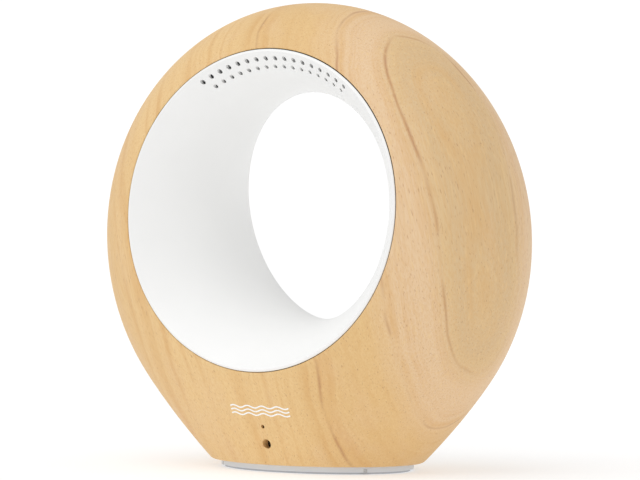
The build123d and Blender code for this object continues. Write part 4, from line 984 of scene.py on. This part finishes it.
def finish_of(slot):
    """The material of a slot, made the first time it is asked for."""
    if slot not in made_finishes:
        made_finishes[slot] = FINISHES[slot]()
    return made_finishes[slot]


made_finishes = {}


# -------------------------------------------------------------------------------- operators
class MONITOR_OT_wooden_body(Operator):
    """Build the hollow wooden ring with its holes"""

    bl_idname = "monitor.wooden_body"
    bl_label = "Wooden body"

    def execute(self, context):
        grid = wood_grid(context.scene.monitor_body)
        body = new_piece("wooden_body", grid, grid_faces(*grid.shape[:2]).tolist())
        cut(body, wood_cutter(context.scene.monitor_body))
        smooth(body)
        place(body, "maple_wood", finish_of("maple_wood"))
        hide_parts("wood_shell")
        return {"FINISHED"}


class MONITOR_OT_liners(Operator):
    """Build the front and rear liners with their vents"""

    bl_idname = "monitor.liners"
    bl_label = "Liners"

    def execute(self, context):
        liner = context.scene.monitor_liner
        for name, node, side in (("front_flare", "front_liner", -1), ("rear_flare", "rear_liner", 1)):
            grid = liner_grid(liner, side)
            piece = new_piece(name, grid, grid_faces(*grid.shape[:2]).tolist())
            cut(piece, vent_cutter(liner, side))
            smooth(piece)
            place(piece, "satin_white_plastic", finish_of("satin_white_plastic"))
            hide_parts(node)
        return {"FINISHED"}


class MONITOR_OT_mark(Operator):
    """Print the three waves on the front"""

    bl_idname = "monitor.mark"
    bl_label = "Printed mark"

    def execute(self, context):
        mark = context.scene.monitor_mark
        strips = np.stack([wave_strip(mark, row) for row in (-1, 0, 1)])
        waves, steps, corners, _axes = strips.shape
        faces = grid_faces(steps, corners)[: (steps - 1) * corners]
        every = np.concatenate([faces + wave * steps * corners for wave in range(waves)])
        piece = new_piece("printed_waves", strips, every.tolist())
        place(piece, "white_plastic", screen_ink())
        return {"FINISHED"}


class MONITOR_OT_finishes(Operator):
    """Give every piece of the frame its finish"""

    bl_idname = "monitor.finishes"
    bl_label = "Finishes"

    def execute(self, context):
        for subpart in frame["record"]["subparts"]:
            piece = frame["nodes"][subpart["node"]]
            for slot in piece.material_slots:
                slot.material = finish_of(subpart["material_slot"])
        return {"FINISHED"}


class MONITOR_OT_studio(Operator):
    """Set up the floor, the lights and the camera"""

    bl_idname = "monitor.studio"
    bl_label = "Studio"

    def execute(self, context):
        make_floor()
        make_sky(context.scene.monitor_studio)
        make_key(context.scene.monitor_studio)
        make_camera(context.scene.monitor_studio)
        return {"FINISHED"}


# ----------------------------------------------------------------------------------- studio
FLOOR_REACH = 9.0
KEY_TRAVEL = (0.15, 0.5, -1.0)          # the way the key light shines


def make_floor():
    """A wide flat white table."""
    corners = np.array([(-1, -1, 0), (1, -1, 0), (1, 1, 0), (-1, 1, 0)]) * FLOOR_REACH
    floor = new_piece("floor", corners, [(0, 1, 2, 3)])
    floor.data.materials.append(light_table())


def make_sky(studio):
    """Even white surroundings."""
    world = bpy.data.worlds.new("white_room")
    world.use_nodes = True
    background = world.node_tree.nodes["Background"]
    background.inputs["Color"].default_value = (1.0, 1.0, 1.0, 1.0)
    background.inputs["Strength"].default_value = studio.sky
    bpy.context.scene.world = world


def make_key(studio):
    """A broad white light from far off at the front left and above."""
    lamp = bpy.data.lights.new("key_light", "SUN")
    lamp.energy = studio.key
    lamp.angle = studio.key_spread
    light = bpy.data.objects.new("key_light", lamp)
    light.rotation_euler = Vector(KEY_TRAVEL).to_track_quat("-Z", "Y").to_euler()
    bpy.context.scene.collection.objects.link(light)


def make_camera(studio):
    """A long lens at the stated turn, height and lean, aimed near the body's middle."""
    turn, rise, lean = studio.azimuth, studio.elevation, studio.roll
    back = Vector((math.sin(turn) * math.cos(rise), -math.cos(turn) * math.cos(rise), math.sin(rise)))
    level_right = Vector((math.cos(turn), math.sin(turn), 0))
    level_up = back.cross(level_right)
    right = level_right * math.cos(lean) + level_up * math.sin(lean)
    up = level_up * math.cos(lean) - level_right * math.sin(lean)
    aim = Vector((0, 0, widest_level())) + level_right * studio.shift_right + level_up * studio.shift_up
    lens = bpy.data.cameras.new("camera")
    lens.sensor_width = 36
    lens.lens = studio.focal_length
    camera = bpy.data.objects.new("camera", lens)
    facing = Matrix((right, up, back)).transposed().to_4x4()
    camera.matrix_world = Matrix.Translation(aim + back * studio.distance) @ facing
    bpy.context.scene.collection.objects.link(camera)
    bpy.context.scene.camera = camera
    bpy.context.scene.view_settings.view_transform = "Standard"


# ------------------------------------------------------------------------------------ panel
class MONITOR_PT_panel(Panel):
    """Lists the pieces and what can be changed"""

    bl_idname = "MONITOR_PT_panel"
    bl_label = "Air quality monitor"
    bl_space_type = "VIEW_3D"
    bl_region_type = "UI"
    bl_category = "Monitor"

    def draw(self, context):
        for operator in OPERATORS:
            self.layout.operator(operator.bl_idname)
        for name in SETTINGS:
            group = getattr(context.scene, name)
            box = self.layout.box()
            for setting in group.bl_rna.properties.keys():
                if setting not in ("rna_type", "name"):
                    box.prop(group, setting)


OPERATORS = (
    MONITOR_OT_studio,
    MONITOR_OT_wooden_body,
    MONITOR_OT_liners,
    MONITOR_OT_mark,
    MONITOR_OT_finishes,
)
SETTINGS = {
    "monitor_body": BodySizes,
    "monitor_liner": LinerSizes,
    "monitor_mark": MarkSizes,
    "monitor_colours": FinishColours,
    "monitor_studio": StudioSetup,
}
CLASSES = (*SETTINGS.values(), *OPERATORS, MONITOR_PT_panel)


def register():
    for each in CLASSES:
        bpy.utils.register_class(each)
    for name, group in SETTINGS.items():
        setattr(bpy.types.Scene, name, PointerProperty(type=group))


def unregister():
    for name in SETTINGS:
        delattr(bpy.types.Scene, name)
    for each in reversed(CLASSES):
        bpy.utils.unregister_class(each)


def main():
    """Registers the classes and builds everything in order."""
    register()
    bpy.ops.monitor.studio()
    bpy.ops.monitor.wooden_body()
    bpy.ops.monitor.liners()
    bpy.ops.monitor.mark()
    bpy.ops.monitor.finishes()


if __name__ == "__main__":
    main()
